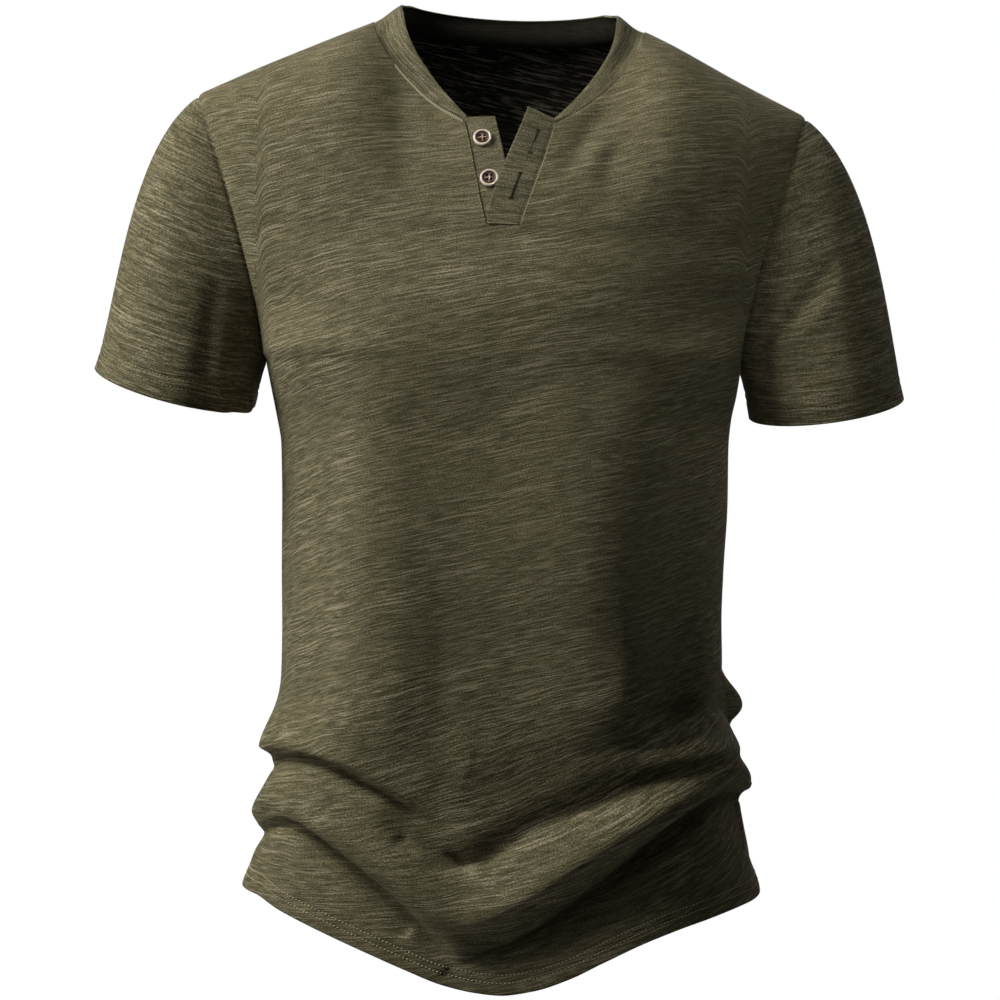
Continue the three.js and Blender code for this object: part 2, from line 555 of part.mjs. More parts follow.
// Closed wall from an outer and an inner grid; keep says which cells exist, a tube joins its
// last column to its first
function wallSolid(outer, inner, sign, keep = () => true, tube = false) {
  const cols = outer[0].length;
  const cells = cols - 1;
  const position = [];
  const ids = new Map();
  const idOf = (layer, r, column) => {
    const c = tube ? column % cells : column;
    const key = (layer * 1000 + r) * 1000 + c;
    if (!ids.has(key)) {
      const p = (layer ? inner : outer)[r][c];
      ids.set(key, position.length / 3);
      position.push(p.x, p.y, p.z);
    }
    return ids.get(key);
  };
  const index = [];
  const quad = (a, b, c, d) => index.push(a, b, c, a, c, d);
  const has = (r, c) => {
    if (r < 0 || r >= outer.length - 1) return false;
    return tube || (c >= 0 && c < cells && keep(r, c));
  };
  for (let r = 0; r < outer.length - 1; r += 1) {
    for (let c = 0; c < cells; c += 1) {
      if (!has(r, c)) continue;
      const o = [idOf(0, r, c), idOf(0, r, c + 1), idOf(0, r + 1, c + 1), idOf(0, r + 1, c)];
      const i = [idOf(1, r, c), idOf(1, r, c + 1), idOf(1, r + 1, c + 1), idOf(1, r + 1, c)];
      if (sign > 0) {
        quad(o[0], o[1], o[2], o[3]);
        quad(i[3], i[2], i[1], i[0]);
      } else {
        quad(o[3], o[2], o[1], o[0]);
        quad(i[0], i[1], i[2], i[3]);
      }
      const rim = (k, m) => (sign > 0 ? quad(o[m], o[k], i[k], i[m]) : quad(o[k], o[m], i[m], i[k]));
      if (!has(r - 1, c)) rim(0, 1);
      if (!has(r, c + 1)) rim(1, 2);
      if (!has(r + 1, c)) rim(2, 3);
      if (!has(r, c - 1)) rim(3, 0);
    }
  }
  const geometry = new THREE.BufferGeometry();
  geometry.setAttribute('position', new THREE.Float32BufferAttribute(position, 3));
  geometry.setIndex(index);
  geometry.computeVertexNormals();
  return geometry;
}

const FIRST_YOKE_ROW = LOWER_ROWS.length + CHEST_Z.length;
const insideNotch = (r, c) => r >= FIRST_YOKE_ROW - 1 && c >= SIDE_COLS && c < SIDE_COLS + NOTCH_COLS;
const keepCell = (face) => (r, c) => !(face === 'front' && insideNotch(r, c));

// Panels with their seam gaps and one shared wall direction at each seam
function makePanel(face) {
  const { rows, sign } = panelRows(face);
  const ySign = face === 'front' ? -1 : 1;
  const keep = keepCell(face);
  const normals = gridNormals(rows, sign, keep);
  const last = rows.length - 1;
  rows.forEach((row, r) => {
    for (const c of [0, COLS]) {
      if (r < LOWER_ROWS.length) {
        normals[r][c].y = 0;
        normals[r][c].normalize();
        row[c].y = ySign * HALF_GAP;
      }
    }
  });
  for (let c = 0; c <= COLS; c += 1) {
    if (c > SHOULDER_COLS && c < COLS - SHOULDER_COLS) continue;
    normals[last][c].y = 0;
    normals[last][c].normalize();
    rows[last][c].y = ySign * HALF_GAP;
  }
  const inner = rows.map((row, r) => row.map((p, c) => p.clone().addScaledVector(normals[r][c], -WALL)));
  for (let c = 0; c <= COLS; c += 1) {
    if (c > SHOULDER_COLS && c < COLS - SHOULDER_COLS) continue;
    inner[last][c].y = ySign * HALF_GAP;
  }
  return { rows, inner, normals, sign, keep };
}

const front = makePanel('front');
const back = makePanel('back');

// Armhole ring: from the underarm up the front edge, over the tip and down the back edge
function armholeRing(side) {
  const col = side === 'left' ? 0 : COLS;
  const start = LOWER_ROWS.length - 1;
  const ring = [];
  const last = front.rows.length - 1;
  for (let r = start; r <= last; r += 1) {
    ring.push({ outer: front.rows[r][col].clone(), inner: front.inner[r][col].clone() });
  }
  for (let r = last - 1; r > start; r -= 1) {
    ring.push({ outer: back.rows[r][col].clone(), inner: back.inner[r][col].clone() });
  }
  for (const k of [0, last - start]) {
    ring[k].outer.y = 0;
    ring[k].inner.y = 0;
  }
  return ring;
}

const SLEEVE_ROWS = [0, 0.06, 0.14, 0.24, 0.34, 0.44, 0.54, 0.64, 0.74, 0.84, 0.92, 1];

function makeSleeve(side) {
  const cuff = CUFFS[side];
  const sx = side === 'left' ? -1 : 1;
  const ring = armholeRing(side);
  const n = ring.length;
  const centre = new THREE.Vector3(...cuff.centre);
  const e1 = new THREE.Vector3(...cuff.across).normalize();
  const down = new THREE.Vector3(e1.z * Math.sign(e1.x), 0, -Math.abs(e1.x)).normalize();
  const lean = cuff.lean * Math.PI / 180;
  const e2 = new THREE.Vector3(0, -Math.cos(lean), 0).addScaledVector(down, Math.sin(lean)).normalize();
  const exit = e1.clone().cross(e2);
  if (exit.dot(down) < 0) exit.negate();
  exit.addScaledVector(new THREE.Vector3(sx, 0, 0), 0.12).normalize();
  const lengths = [0];
  for (let k = 1; k <= n; k += 1) {
    lengths.push(lengths[k - 1] + ring[k % n].outer.distanceTo(ring[k - 1].outer));
  }
  const top = front.rows.length - LOWER_ROWS.length;
  const around = (k) => (k <= top
    ? 0.5 * lengths[k] / lengths[top]
    : 0.5 + 0.5 * (lengths[k] - lengths[top]) / (lengths[n] - lengths[top]));
  const folds = readyFolds(side === 'left' ? LEFT_SLEEVE_FOLDS : RIGHT_SLEEVE_FOLDS, 400, 150);
  const rows = SLEEVE_ROWS.map(() => []);
  for (let k = 0; k < n; k += 1) {
    const share = around(k);
    const a = share * Math.PI * 2;
    const p0 = ring[k].outer;
    const p1 = centre.clone().addScaledVector(e1, cuff.half * Math.cos(a))
      .addScaledVector(e2, cuff.depth * Math.sin(a));
    const rise = clamp((p0.z - UNDERARM_Z) / (TIP_Z - UNDERARM_Z), 0, 1);
    const fall = mix(-0.86, -0.56, smooth(0.2, 1, rise));
    const t0 = new THREE.Vector3(sx * mix(0.5, 0.83, rise), -0.2 * rise * Math.sin(a), fall).normalize();
    const reach = p0.distanceTo(p1);
    SLEEVE_ROWS.forEach((s, r) => {
      const s2 = s * s;
      const s3 = s2 * s;
      const p = p0.clone().multiplyScalar(2 * s3 - 3 * s2 + 1)
        .addScaledVector(t0, (s3 - 2 * s2 + s) * reach * 0.9)
        .addScaledVector(p1, 3 * s2 - 2 * s3)
        .addScaledVector(exit, (s3 - s2) * reach * 0.66);
      rows[r].push(p);
    });
  }
  rows.forEach((row) => row.push(row[0].clone()));
  const sign = side === 'left' ? 1 : -1;
  const keep = () => true;
  const closeNormals = (normals) => normals.forEach((row) => {
    const sum = row[0].clone().add(row[n]).normalize();
    row[0].copy(sum);
    row[n].copy(sum);
  });
  const flat = gridNormals(rows, sign, keep);
  closeNormals(flat);
  rows.forEach((row, r) => row.forEach((p, k) => {
    const share = k === n ? 0 : around(k);
    const s = SLEEVE_ROWS[r];
    const wrap = share < 0.25 ? sumFolds(folds, (share + 1) * 400, s * 150) : 0;
    const lift = (sumFolds(folds, share * 400, s * 150) + wrap) * smooth(0.03, 0.3, s);
    p.addScaledVector(flat[r][k], lift);
  }));
  const normals = gridNormals(rows, sign, keep);
  closeNormals(normals);
  const inner = rows.map((row, r) => row.map((p, k) => p.clone().addScaledVector(normals[r][k], -WALL)));
  for (let k = 0; k <= n; k += 1) {
    const edge = ring[k % n];
    const wall = edge.outer.clone().sub(edge.inner).normalize();
    const tangent = ring[(k + 1) % n].outer.clone().sub(ring[(k + n - 1) % n].outer);
    const out = wall.clone().cross(tangent).normalize();
    if (out.x * sx + out.z * 0.5 < 0) out.negate();
    const go = rows[1][k].clone().sub(edge.outer).normalize();
    const away = wall.clone().lerp(out, smooth(-0.3, 0.3, go.dot(out))).normalize();
    const inward = normals[0][k].clone().negate();
    inward.addScaledVector(out, Math.max(0, -inward.dot(out))).normalize();
    rows[0][k].copy(edge.outer).addScaledVector(away, SEAM_GAP);
    inner[0][k].copy(rows[0][k]).addScaledVector(inward, WALL);
  }
  return wallSolid(rows, inner, sign, keep, true);
}

// Neckband follows the top edges of both panels and steps over the shoulder seams midway
function neckRing() {
  const last = front.rows.length - 1;
  const pts = [];
  const edge = (panel, c) => ({ outer: panel.rows[last][c].clone(), inner: panel.inner[last][c].clone() });
  const shoulder = (c) => {
    const a = edge(front, c);
    const b = edge(back, c);
    for (const k of ['outer', 'inner']) a[k].add(b[k]).multiplyScalar(0.5);
    return a;
  };
  for (let c = SIDE_COLS; c > SHOULDER_COLS; c -= 1) pts.push(edge(front, c));
  pts.push(shoulder(SHOULDER_COLS));
  for (let c = SHOULDER_COLS + 1; c < COLS - SHOULDER_COLS; c += 1) pts.push(edge(back, c));
  pts.push(shoulder(COLS - SHOULDER_COLS));
  for (let c = COLS - SHOULDER_COLS - 1; c >= SIDE_COLS + NOTCH_COLS; c -= 1) pts.push(edge(front, c));
  const ends = [[0, 1], [pts.length - 1, pts.length - 2]];
  for (const [k, m] of ends) {
    const pull = pts[m].outer.clone().sub(pts[k].outer).normalize().multiplyScalar(0.9);
    pts[k].outer.add(pull);
    pts[k].inner.add(pull);
  }
  pts.forEach((p, k) => {
    const tangent = pts[Math.min(k + 1, pts.length - 1)].outer.clone().sub(pts[Math.max(k - 1, 0)].outer);
    const wall = p.outer.clone().sub(p.inner).normalize();
    p.leave = wall.cross(tangent).normalize();
    if (p.leave.dot(new THREE.Vector3(-p.outer.x, -p.outer.y, 60)) < 0) p.leave.negate();
  });
  return pts;
}

function makeNeckband() {
  const ring = neckRing();
  const shares = [0, 0.34, 0.68, 1];
  const lengths = [0];
  for (let k = 1; k < ring.length; k += 1) {
    lengths.push(lengths[k - 1] + ring[k].outer.distanceTo(ring[k - 1].outer));
  }
  const total = lengths[lengths.length - 1];
  const rows = shares.map(() => []);
  ring.forEach((p, k) => {
    const turn = lengths[k] / total;
    const lean = new THREE.Vector3(lookUp(BAND, 'turn', turn, 'inward'),
      lookUp(BAND, 'turn', turn, 'back'), lookUp(BAND, 'turn', turn, 'up')).normalize();
    const width = lookUp(BAND, 'turn', turn, 'width');
    shares.forEach((s, r) => {
      const dir = p.leave.clone().lerp(lean, smooth(-0.1, 0.9, s)).normalize();
      rows[r].push(p.outer.clone().addScaledVector(p.leave, BAND_GAP).addScaledVector(dir, s * width));
    });
  });
  const normals = gridNormals(rows, -1, () => true);
  const inner = rows.map((row, r) => row.map((p, k) => (
    p.clone().addScaledVector(normals[r][k], -BAND_WALL))));
  ring.forEach((p, k) => inner[0][k].copy(p.inner).addScaledVector(p.leave, BAND_GAP));
  return wallSolid(rows, inner, -1);
}

// Placket strips lie on the front surface at a set height over it
function makeStrip(table, low, high, curl) {
  const across = 6;
  const along = 12;
  const edges = table.map((row, k) => ({ v: k / (table.length - 1),
    lx: row.left[0], lz: row.left[1], rx: row.right[0], rz: row.right[1] }));
  const outer = [];
  const inner = [];
  for (let r = 0; r <= along; r += 1) {
    const v = r / along;
    const [lx, lz, rx, rz] = ['lx', 'lz', 'rx', 'rz'].map((k) => lookUp(edges, 'v', v, k));
    outer.push([]);
    inner.push([]);
    for (let c = 0; c <= across; c += 1) {
      const u = c / across;
      const x = mix(lx, rx, u);
      const z = mix(lz, rz, u);
      const free = curl.side > 0 ? u : 1 - u;
      const bend = curl.height * free * free * smooth(0.35, 1, v);
      outer[r].push(upperPoint(x, z, 'front', high + bend));
      inner[r].push(upperPoint(x, z, 'front', low + bend));
    }
  }
  return wallSolid(outer, inner, 1);
}

// Button: turned disc with a raised rim, cut through by four thread holes
function makeButton(at) {
  const profile = [
    [0, 0], [4.6, 0], [5.9, 0.35], [6.35, 1.0], [6.3, 1.9], [5.7, 2.6], [5.0, 2.6], [4.4, 1.9], [0, 1.75],
  ];
  const lathe = new THREE.LatheGeometry(profile.map(([r, h]) => new THREE.Vector2(r, h)), 28);
  const hole = (x, y) => {
    const g = new THREE.CylinderGeometry(0.85, 0.85, 8, 8);
    g.translate(x, 0, y);
    return g;
  };
  const toSolid = (geometry) => {
    const p = geometry.getAttribute('position');
    const keys = new Map();
    const verts = [];
    const remap = [];
    for (let i = 0; i < p.count; i += 1) {
      const key = [p.getX(i), p.getY(i), p.getZ(i)].map((v) => Math.round(v * 1e4)).join(' ');
      if (!keys.has(key)) {
        keys.set(key, verts.length / 3);
        verts.push(p.getX(i), p.getY(i), p.getZ(i));
      }
      remap.push(keys.get(key));
    }
    const tris = [];
    const index = geometry.index.array;
    for (let i = 0; i < index.length; i += 3) {
      const t = [remap[index[i]], remap[index[i + 1]], remap[index[i + 2]]];
      if (t[0] !== t[1] && t[1] !== t[2] && t[0] !== t[2]) tris.push(...t);
    }
    return new wasm.Manifold(new wasm.Mesh({
      numProp: 3, vertProperties: new Float32Array(verts), triVerts: new Uint32Array(tris),
    }));
  };
  let body = toSolid(lathe);
  for (const [x, y] of [[1.5, 1.5], [-1.5, 1.5], [-1.5, -1.5], [1.5, -1.5]]) {
    body = body.subtract(toSolid(hole(x, y)));
  }
  const mesh = body.getMesh();
  const geometry = new THREE.BufferGeometry();
  geometry.setAttribute('position', new THREE.Float32BufferAttribute(mesh.vertProperties, 3));
  geometry.setIndex(Array.from(mesh.triVerts));
  const base = upperPoint(at.x, at.z, 'front', -0.25);
  const right = upperPoint(at.x + 4, at.z, 'front').sub(upperPoint(at.x - 4, at.z, 'front'));
  const rise = upperPoint(at.x, at.z + 4, 'front').sub(upperPoint(at.x, at.z - 4, 'front'));
  const axis = right.clone().cross(rise).normalize();
  const turn = new THREE.Quaternion().setFromUnitVectors(new THREE.Vector3(0, 1, 0), axis);
  geometry.applyQuaternion(turn);
  geometry.translate(base.x, base.y, base.z);
  geometry.computeVertexNormals();
  return geometry;
}

// Assembly
const cloth = (color) => new THREE.MeshStandardMaterial({ color, roughness: 0.92, metalness: 0 });
const horn = new THREE.MeshStandardMaterial({ color: BUTTON_BROWN, roughness: 0.45, metalness: 0 });
const olive = cloth(OLIVE);
const trim = cloth(OLIVE_TRIM);

const shirt = new THREE.Group();
shirt.name = 'henley_shirt';
function add(name, geometry, material) {
  const mesh = new THREE.Mesh(geometry, material);
  mesh.name = name;
  shirt.add(mesh);
}

add('front_panel', wallSolid(front.rows, front.inner, front.sign, front.keep), olive);
add('back_panel', wallSolid(back.rows, back.inner, back.sign, back.keep), olive);
add('sleeve_left', makeSleeve('left'), olive);
add('sleeve_right', makeSleeve('right'), olive);
add('neckband', makeNeckband(), trim);
add('placket_underlap', makeStrip(UNDERLAP, -2.4, -0.6, { side: 1, height: 0 }), trim);
add('placket_overlap', makeStrip(OVERLAP, -0.2, 1.6, { side: -1, height: 3 }), trim);
for (const b of BUTTONS) add(b.name, makeButton(b), horn);

export default shirt;
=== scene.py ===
# Looks of the olive slub henley: dense cloth over the form of the solids, with sewing, buttons,
# slub colour and soft studio light. Lengths are in millimetres until a mesh is made.
import bpy
import math
import numpy as np
from mathutils import Matrix, Vector


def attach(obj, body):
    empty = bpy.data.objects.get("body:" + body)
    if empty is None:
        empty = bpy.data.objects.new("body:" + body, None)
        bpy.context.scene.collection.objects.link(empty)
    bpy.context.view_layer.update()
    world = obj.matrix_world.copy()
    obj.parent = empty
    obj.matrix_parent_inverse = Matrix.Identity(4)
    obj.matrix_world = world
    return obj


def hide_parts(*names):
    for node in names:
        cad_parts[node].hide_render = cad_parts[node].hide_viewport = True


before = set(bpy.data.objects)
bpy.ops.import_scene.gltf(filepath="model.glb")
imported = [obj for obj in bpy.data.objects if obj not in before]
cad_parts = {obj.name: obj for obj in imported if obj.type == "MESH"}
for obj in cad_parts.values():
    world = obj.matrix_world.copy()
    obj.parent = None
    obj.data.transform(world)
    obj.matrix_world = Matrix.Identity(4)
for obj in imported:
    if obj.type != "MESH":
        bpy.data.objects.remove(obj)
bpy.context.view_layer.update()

MM = 0.001
# Half the gap between the front and back panels at a seam
SEAM = 0.03
# Length of a quarter round the body: turn 0 is the middle of the front, 1 the right side seam, 2 the back
ARC = 245.0
UNDERARM_Z = -250.0
# Height where the placket's foot sits and the chest becomes the yoke
YOKE_Z = -155.0
# Neck point and shoulder tip
HPS_X = 100.0
TIP_X = 224.0
TIP_Z = -58.5
# Roundness of the body's sections
POWER = 2.5
SLOPE = TIP_Z / (TIP_X - HPS_X)
# Columns across a panel: those between the armhole and the notch of the placket, and along a shoulder
COLS = 36
SIDE_COLS = 16
SHOULDER_COLS = 8
NOTCH_COLS = 4
NOTCH_LEFT = -10.9
NOTCH_RIGHT = 12.9

# height, left, right, front, back
SECTIONS = np.array([
    (-720, 197, 195, 119, 102), (-700, 196, 194, 119, 102), (-635, 192, 190, 118.5, 101),
    (-612, 184, 183, 118, 100), (-585, 177, 177.5, 117, 99), (-550, 171, 171.5, 115, 97),
    (-515, 166, 166, 113, 94), (-480, 163.6, 163.6, 110.5, 91), (-442, 163, 162.3, 108, 88),
    (-400, 163.3, 164, 107, 88), (-352, 163, 167, 107, 93), (-310, 163.5, 167.7, 108.3, 100),
    (-290, 166.7, 169.6, 110, 103), (-270, 170.5, 173.5, 113, 106), (-250, 174, 176, 116, 109),
])
# turn, height of the hem
HEM = np.array([
    (-2.0, -697), (-1.72, -690), (-1.45, -667), (-1.2, -640), (-1.0, -631.5), (-0.77, -634),
    (-0.646, -643.9), (-0.545, -653.1), (-0.397, -667.9), (-0.264, -681.8), (-0.168, -691.3),
    (-0.077, -696.7), (0, -698.8), (0.087, -695.8), (0.185, -687.8), (0.28, -676.6), (0.414, -662.1),
    (0.55, -651.5), (0.76, -641), (1.0, -636.5), (1.2, -643), (1.45, -668), (1.72, -690), (2.0, -697),
])
# height, front, back
MIDDLE = np.array([
    (-270, 113, 106), (-250, 116, 109), (-215, 117.5, 112), (-185, 111, 113), (-155, 101.5, 112),
    (60, 101.5, 112),
])
# Depth of the front and back at the edge of the armhole
EDGE_DEPTH = {"front": 45, "back": 52}

# Upright drapes of the front: turn, height at three levels
DRAPES = np.array([
    (-1, 0, 0, 0), (-0.82, -4, -7, -5), (-0.7, -6, -10, -8), (-0.59, -4, -6, -4), (-0.5, 0, 5, 7),
    (-0.42, 4, 9, 10), (-0.33, 3, 7, 8), (-0.25, 0, 3, 3), (-0.17, -1, 0, -2), (-0.1, -1.5, -1, -3),
    (0, -1, 0, -3.5), (0.12, 2, 2.5, -2), (0.2, 5, 5, 0.5), (0.28, 7, 7, 3), (0.36, 8, 6, 4),
    (0.44, 5, -1, -1), (0.52, -2, -8, -8), (0.62, -9, -11, -11), (0.75, -7, -6, -5), (0.88, -3, -2, -1),
    (1, 0, 0, 0),
])

# A fold's lift ends beyond this many of its reaches
FOLD_END = 3.2
# Depth of a crease with full lap, and the middle and width of the lap beside it
LAP_DEPTH, LAP_MIDDLE, LAP_WIDTH = 8, 5, 8
# path of (turn, height, crest), reach above, reach below, tuck: how far cloth laps down over it
BODY_FOLDS = [
    # Left hip: upper roll and the crease under it
    ([(-1.35, -516, 2), (-1, -528, 12), (-0.815, -523, 9), (-0.628, -524, 8), (-0.509, -528.5, 7),
      (-0.405, -537.7, 6), (-0.307, -549.9, 4), (-0.228, -562.2, 2)], 24, 6, 0),
    ([(-1.3, -540, -1), (-1, -547, -2), (-0.847, -537.4, -8), (-0.666, -534.5, -12), (-0.541, -537.3, -12),
      (-0.434, -547, -12), (-0.336, -557.7, -10), (-0.257, -570, -6), (-0.181, -582.5, 0)], 4, 7, 2.5),
    # Left hip: lower roll, running on as the belly swag to the right hip
    ([(-1.4, -568, 2), (-1, -577, 9), (-0.785, -563.7, 8), (-0.639, -569.1, 8), (-0.52, -578.9, 8),
      (-0.416, -592, 8), (-0.32, -608.2, 9), (-0.228, -626.1, 10), (-0.142, -640.6, 11),
      (-0.06, -641.2, 12), (0.022, -632.8, 12), (0.107, -620.2, 12), (0.194, -606.3, 12),
      (0.284, -592.6, 12), (0.377, -580.4, 12), (0.476, -568.5, 12), (0.589, -557, 12), (0.744, -543.5, 12),
      (1, -556, 14), (1.2, -562, 8), (1.5, -580, 2)], 15, 10, 0),
    # Crease under the lower roll
    ([(-1.35, -590, -2), (-1, -596, -4), (-0.752, -584, -9), (-0.627, -584.5, -13), (-0.507, -599.9, -16),
      (-0.404, -615.8, -17), (-0.31, -632.8, -16), (-0.224, -652.8, -12), (-0.141, -675.1, -5),
      (-0.065, -690.4, 0)], 4.5, 9, 1.2),
    # Small dents at the left end of the swag
    ([(-0.31, -588, 0), (-0.27, -594, -4), (-0.235, -601, 0)], 4, 5, 0),
    ([(-0.17, -596, 0), (-0.115, -607, -4), (-0.1, -618, 0)], 4, 5, 0),
    # Broad hollow over the swag and its sharp lower edge
    ([(-0.246, -547.6, -3), (-0.153, -569.8, -5), (-0.065, -571.8, -6), (0.024, -561.3, -6),
      (0.113, -550.8, -6), (0.22, -541.9, -5), (0.36, -537.4, -3)], 34, 26, 0),
    ([(-0.308, -570.2, -3), (-0.238, -588.2, -8), (-0.148, -605.5, -10), (-0.062, -606.2, -10),
      (0.023, -592.8, -9), (0.111, -581, -9), (0.199, -572.7, -9), (0.29, -564.5, -9), (0.385, -557.3, -8),
      (0.485, -549.5, -7), (0.639, -543.4, -4)], 14, 8, 1),
    # Deep valley under the swag on the right
    ([(1.25, -592, 0), (1, -588, -2), (0.986, -561.3, -5), (0.678, -562.5, -9), (0.581, -568.3, -12),
      (0.469, -585.4, -15), (0.37, -601.5, -16), (0.277, -617.8, -16), (0.188, -632.3, -15),
      (0.105, -646.9, -13), (0.022, -658.1, -11), (-0.06, -667.9, -7), (-0.12, -680, 0)], 9, 27, 4.5),
    # Right hip: dark pocket, small roll and the crease under it
    ([(1, -507, -3), (0.885, -500, -7), (0.664, -509.4, -10), (0.575, -515.6, -10), (0.499, -519.2, -9),
      (0.429, -521.6, -6), (0.338, -524.7, -2)], 22, 7, 1),
    ([(1, -521, 3), (0.862, -526.7, 7), (0.675, -528.2, 7), (0.585, -532.1, 7), (0.498, -536.9, 5),
      (0.406, -542.6, 2)], 8, 7, 0),
    # Edge of the front panel standing before the bulge of the back panel
    ([(1.045, -470, -1), (1.04, -486, -8), (1.035, -505, -11), (1.02, -524, -5)], 6, 6, 0),
    # Bulge of the back panel beyond the right side seam
    ([(1.06, -502, 13), (1.14, -499, 19), (1.3, -492, 12), (1.55, -486, 3)], 17, 14, 0),
    # Back panel: hollow of the waist, swags and hip rolls
    ([(2, -330, -2), (2, -430, -5), (1.98, -500, -3)], 30, 30, 0),
    ([(-1.62, -330, -1), (-1.58, -420, -4), (-1.6, -500, -3)], 24, 24, 0),
    ([(-1.2, -470, 3), (-1.5, -492, 8), (-1.8, -508, 9), (-2, -512, 9)], 20, 11, 0),
    ([(1.3, -474, 2), (1.62, -496, 7), (1.85, -508, 9), (2, -512, 9)], 20, 11, 0),
    ([(-1.25, -496, -3), (-1.5, -515, -7), (-1.78, -530, -8), (-2, -534, -8)], 8, 17, 4),
    ([(1.5, -520, -5), (1.75, -531, -8), (2, -534, -8)], 8, 17, 4),
    ([(-1.4, -575, 4), (-1.65, -592, 8), (-2, -600, 8)], 20, 12, 0),
    ([(1.45, -580, 4), (1.75, -596, 8), (2, -600, 8)], 20, 12, 0),
    ([(-1.3, -600, -4), (-1.6, -618, -8), (-1.85, -624, -6)], 8, 17, 4),
    ([(1.35, -604, -5), (1.6, -618, -8), (1.85, -626, -6)], 8, 17, 4),
]
# path of (x, z, crest), reach above, reach below, tuck
FRONT_FOLDS = [
    ([(64, -72, -2), (52, -92, -3), (42, -110, -1)], 8, 8, 0),
    ([(78, -80, 1), (64, -100, 2.5), (54, -124, 1)], 10, 10, 0),
    ([(-62, -58, -2), (-50, -78, -2.5), (-40, -96, -1)], 8, 8, 0),
    ([(-190, -175, -2), (-150, -215, -3), (-110, -238, -1)], 14, 14, 0),
    ([(192, -180, -2), (150, -214, -3), (112, -238, -1)], 14, 14, 0),
    ([(-205, -95, 1), (-185, -140, 2.5), (-178, -190, 1)], 12, 12, 0),
]
BACK_FOLDS = [
    ([(-60, -40, 1), (-30, -75, -2.5), (0, -90, -3), (30, -75, -2.5), (60, -40, 1)], 14, 14, 0),
    ([(-188, -170, -2), (-150, -205, -4), (-105, -232, -1.5)], 15, 15, 0),
    ([(190, -172, -2), (150, -208, -4), (108, -234, -1.5)], 15, 15, 0),
    ([(-200, -110, 1), (-160, -150, 3), (-120, -190, 1)], 17, 17, 0),
    ([(202, -112, 1), (165, -150, 3), (122, -190, 1)], 17, 17, 0),
]
# path of (around, along, crest): around 0 under the arm, 0.25 front, 0.5 top, 0.75 back
SLEEVE_FOLDS = {
    "left": [
        ([(0.03, 0.45, -1), (0.01, 0.7, -3), (0, 0.97, -2)], 8, 8, 0),
        ([(0.13, 0.45, -1), (0.11, 0.72, -4), (0.09, 0.98, -3)], 8, 8, 0),
        ([(0.07, 0.45, 1), (0.06, 0.7, 3), (0.05, 0.95, 2)], 7, 7, 0),
        ([(0.21, 0.3, -1), (0.19, 0.62, -3.5), (0.165, 0.95, -2.5)], 9, 9, 0),
        ([(0.66, 0.3, -2), (0.7, 0.6, -4), (0.72, 0.9, -2)], 11, 11, 0),
        ([(0.8, 0.35, 2), (0.79, 0.65, 3.5), (0.78, 0.9, 1)], 10, 10, 0),
    ],
    "right": [
        ([(0.12, 0.3, -2), (0.2, 0.36, -4), (0.3, 0.37, -2.5), (0.36, 0.38, -0.5)], 7, 7, 0),
        ([(0.18, 0.52, 1), (0.25, 0.48, 2.2), (0.33, 0.46, 1)], 8, 8, 0),
        ([(0.4, 0.3, -1), (0.36, 0.6, -3), (0.35, 0.9, -1.5)], 12, 12, 0),
        ([(0.68, 0.3, -2), (0.72, 0.6, -4), (0.74, 0.9, -2)], 11, 11, 0),
        ([(0.82, 0.3, 2), (0.8, 0.6, 3.5), (0.78, 0.9, 1)], 10, 10, 0),
    ],
}
# Length round a sleeve and along it, to which the folds above are drawn
SLEEVE_ROUND, SLEEVE_LONG = 400, 150
CUFFS = {
    "left": {"centre": (-242, 4, -266.5), "across": (118, 0, -33), "half": 61, "depth": 66, "lean": 11},
    "right": {"centre": (240, 4, -281.5), "across": (-114, 0, -17), "half": 57.6, "depth": 66, "lean": 11},
}
# Left and right edges of the placket strips from the foot up: x, z, x, z
UNDERLAP = [(-10.35, -154.5, 11.6, -154.5), (-21.6, -114.8, 0.4, -114.4), (-32.3, -75.9, -10.8, -74.4)]
OVERLAP = [(-10.3, -154.6, 12.4, -154.6), (-10.9, -147, 14.4, -146.8), (-1.6, -110, 23.9, -111.5),
           (12.9, -69.2, 32.4, -74.9)]
BUTTONS = [("upper", -19.2, -92), ("lower", -11.6, -121.7)]
# turn, width, inward, back, up
BAND = np.array([
    (0, 3.5, 0.5, 0.4, 0.7), (0.05, 11, 0.66, 0.35, 0.62), (0.14, 19, 0.8, 0.2, 0.56),
    (0.22, 24, 0.86, 0.1, 0.5), (0.29, 24, 0.72, 0.0, 0.66), (0.37, 21, 0.25, -0.08, 0.96),
    (0.5, 20, 0.0, -0.12, 0.99), (0.63, 21, -0.25, -0.08, 0.96), (0.71, 24, -0.72, 0.0, 0.66),
    (0.78, 24, -0.86, 0.1, 0.5), (0.86, 18, -0.8, 0.2, 0.56), (0.95, 10, -0.66, 0.35, 0.62),
    (1, 3.5, -0.5, 0.4, 0.7),
])


def unit(v):
    return v / np.maximum(np.linalg.norm(v, axis=-1, keepdims=True), 1e-12)


def run_length(points, axis=0):
    """Length along a line of points, or down (0) or across (1) a grid of them."""
    steps = np.linalg.norm(np.diff(points, axis=axis), axis=-1)
    return np.concatenate([0 * np.take(steps, [0], axis), np.cumsum(steps, axis=axis)], axis=axis)


def mix(a, b, t):
    return a + (b - a) * t


def smooth(lo, hi, v):
    t = np.clip((np.asarray(v, float) - lo) / (hi - lo), 0, 1)
    return t * t * (3 - 2 * t)


def cubic(t, a, b, leave, arrive):
    """Curve from a to b that leaves and arrives in the given directions."""
    t2 = t * t
    t3 = t2 * t
    return (2 * t3 - 3 * t2 + 1) * a + (t3 - 2 * t2 + t) * leave + (3 * t2 - 2 * t3) * b + (t3 - t2) * arrive


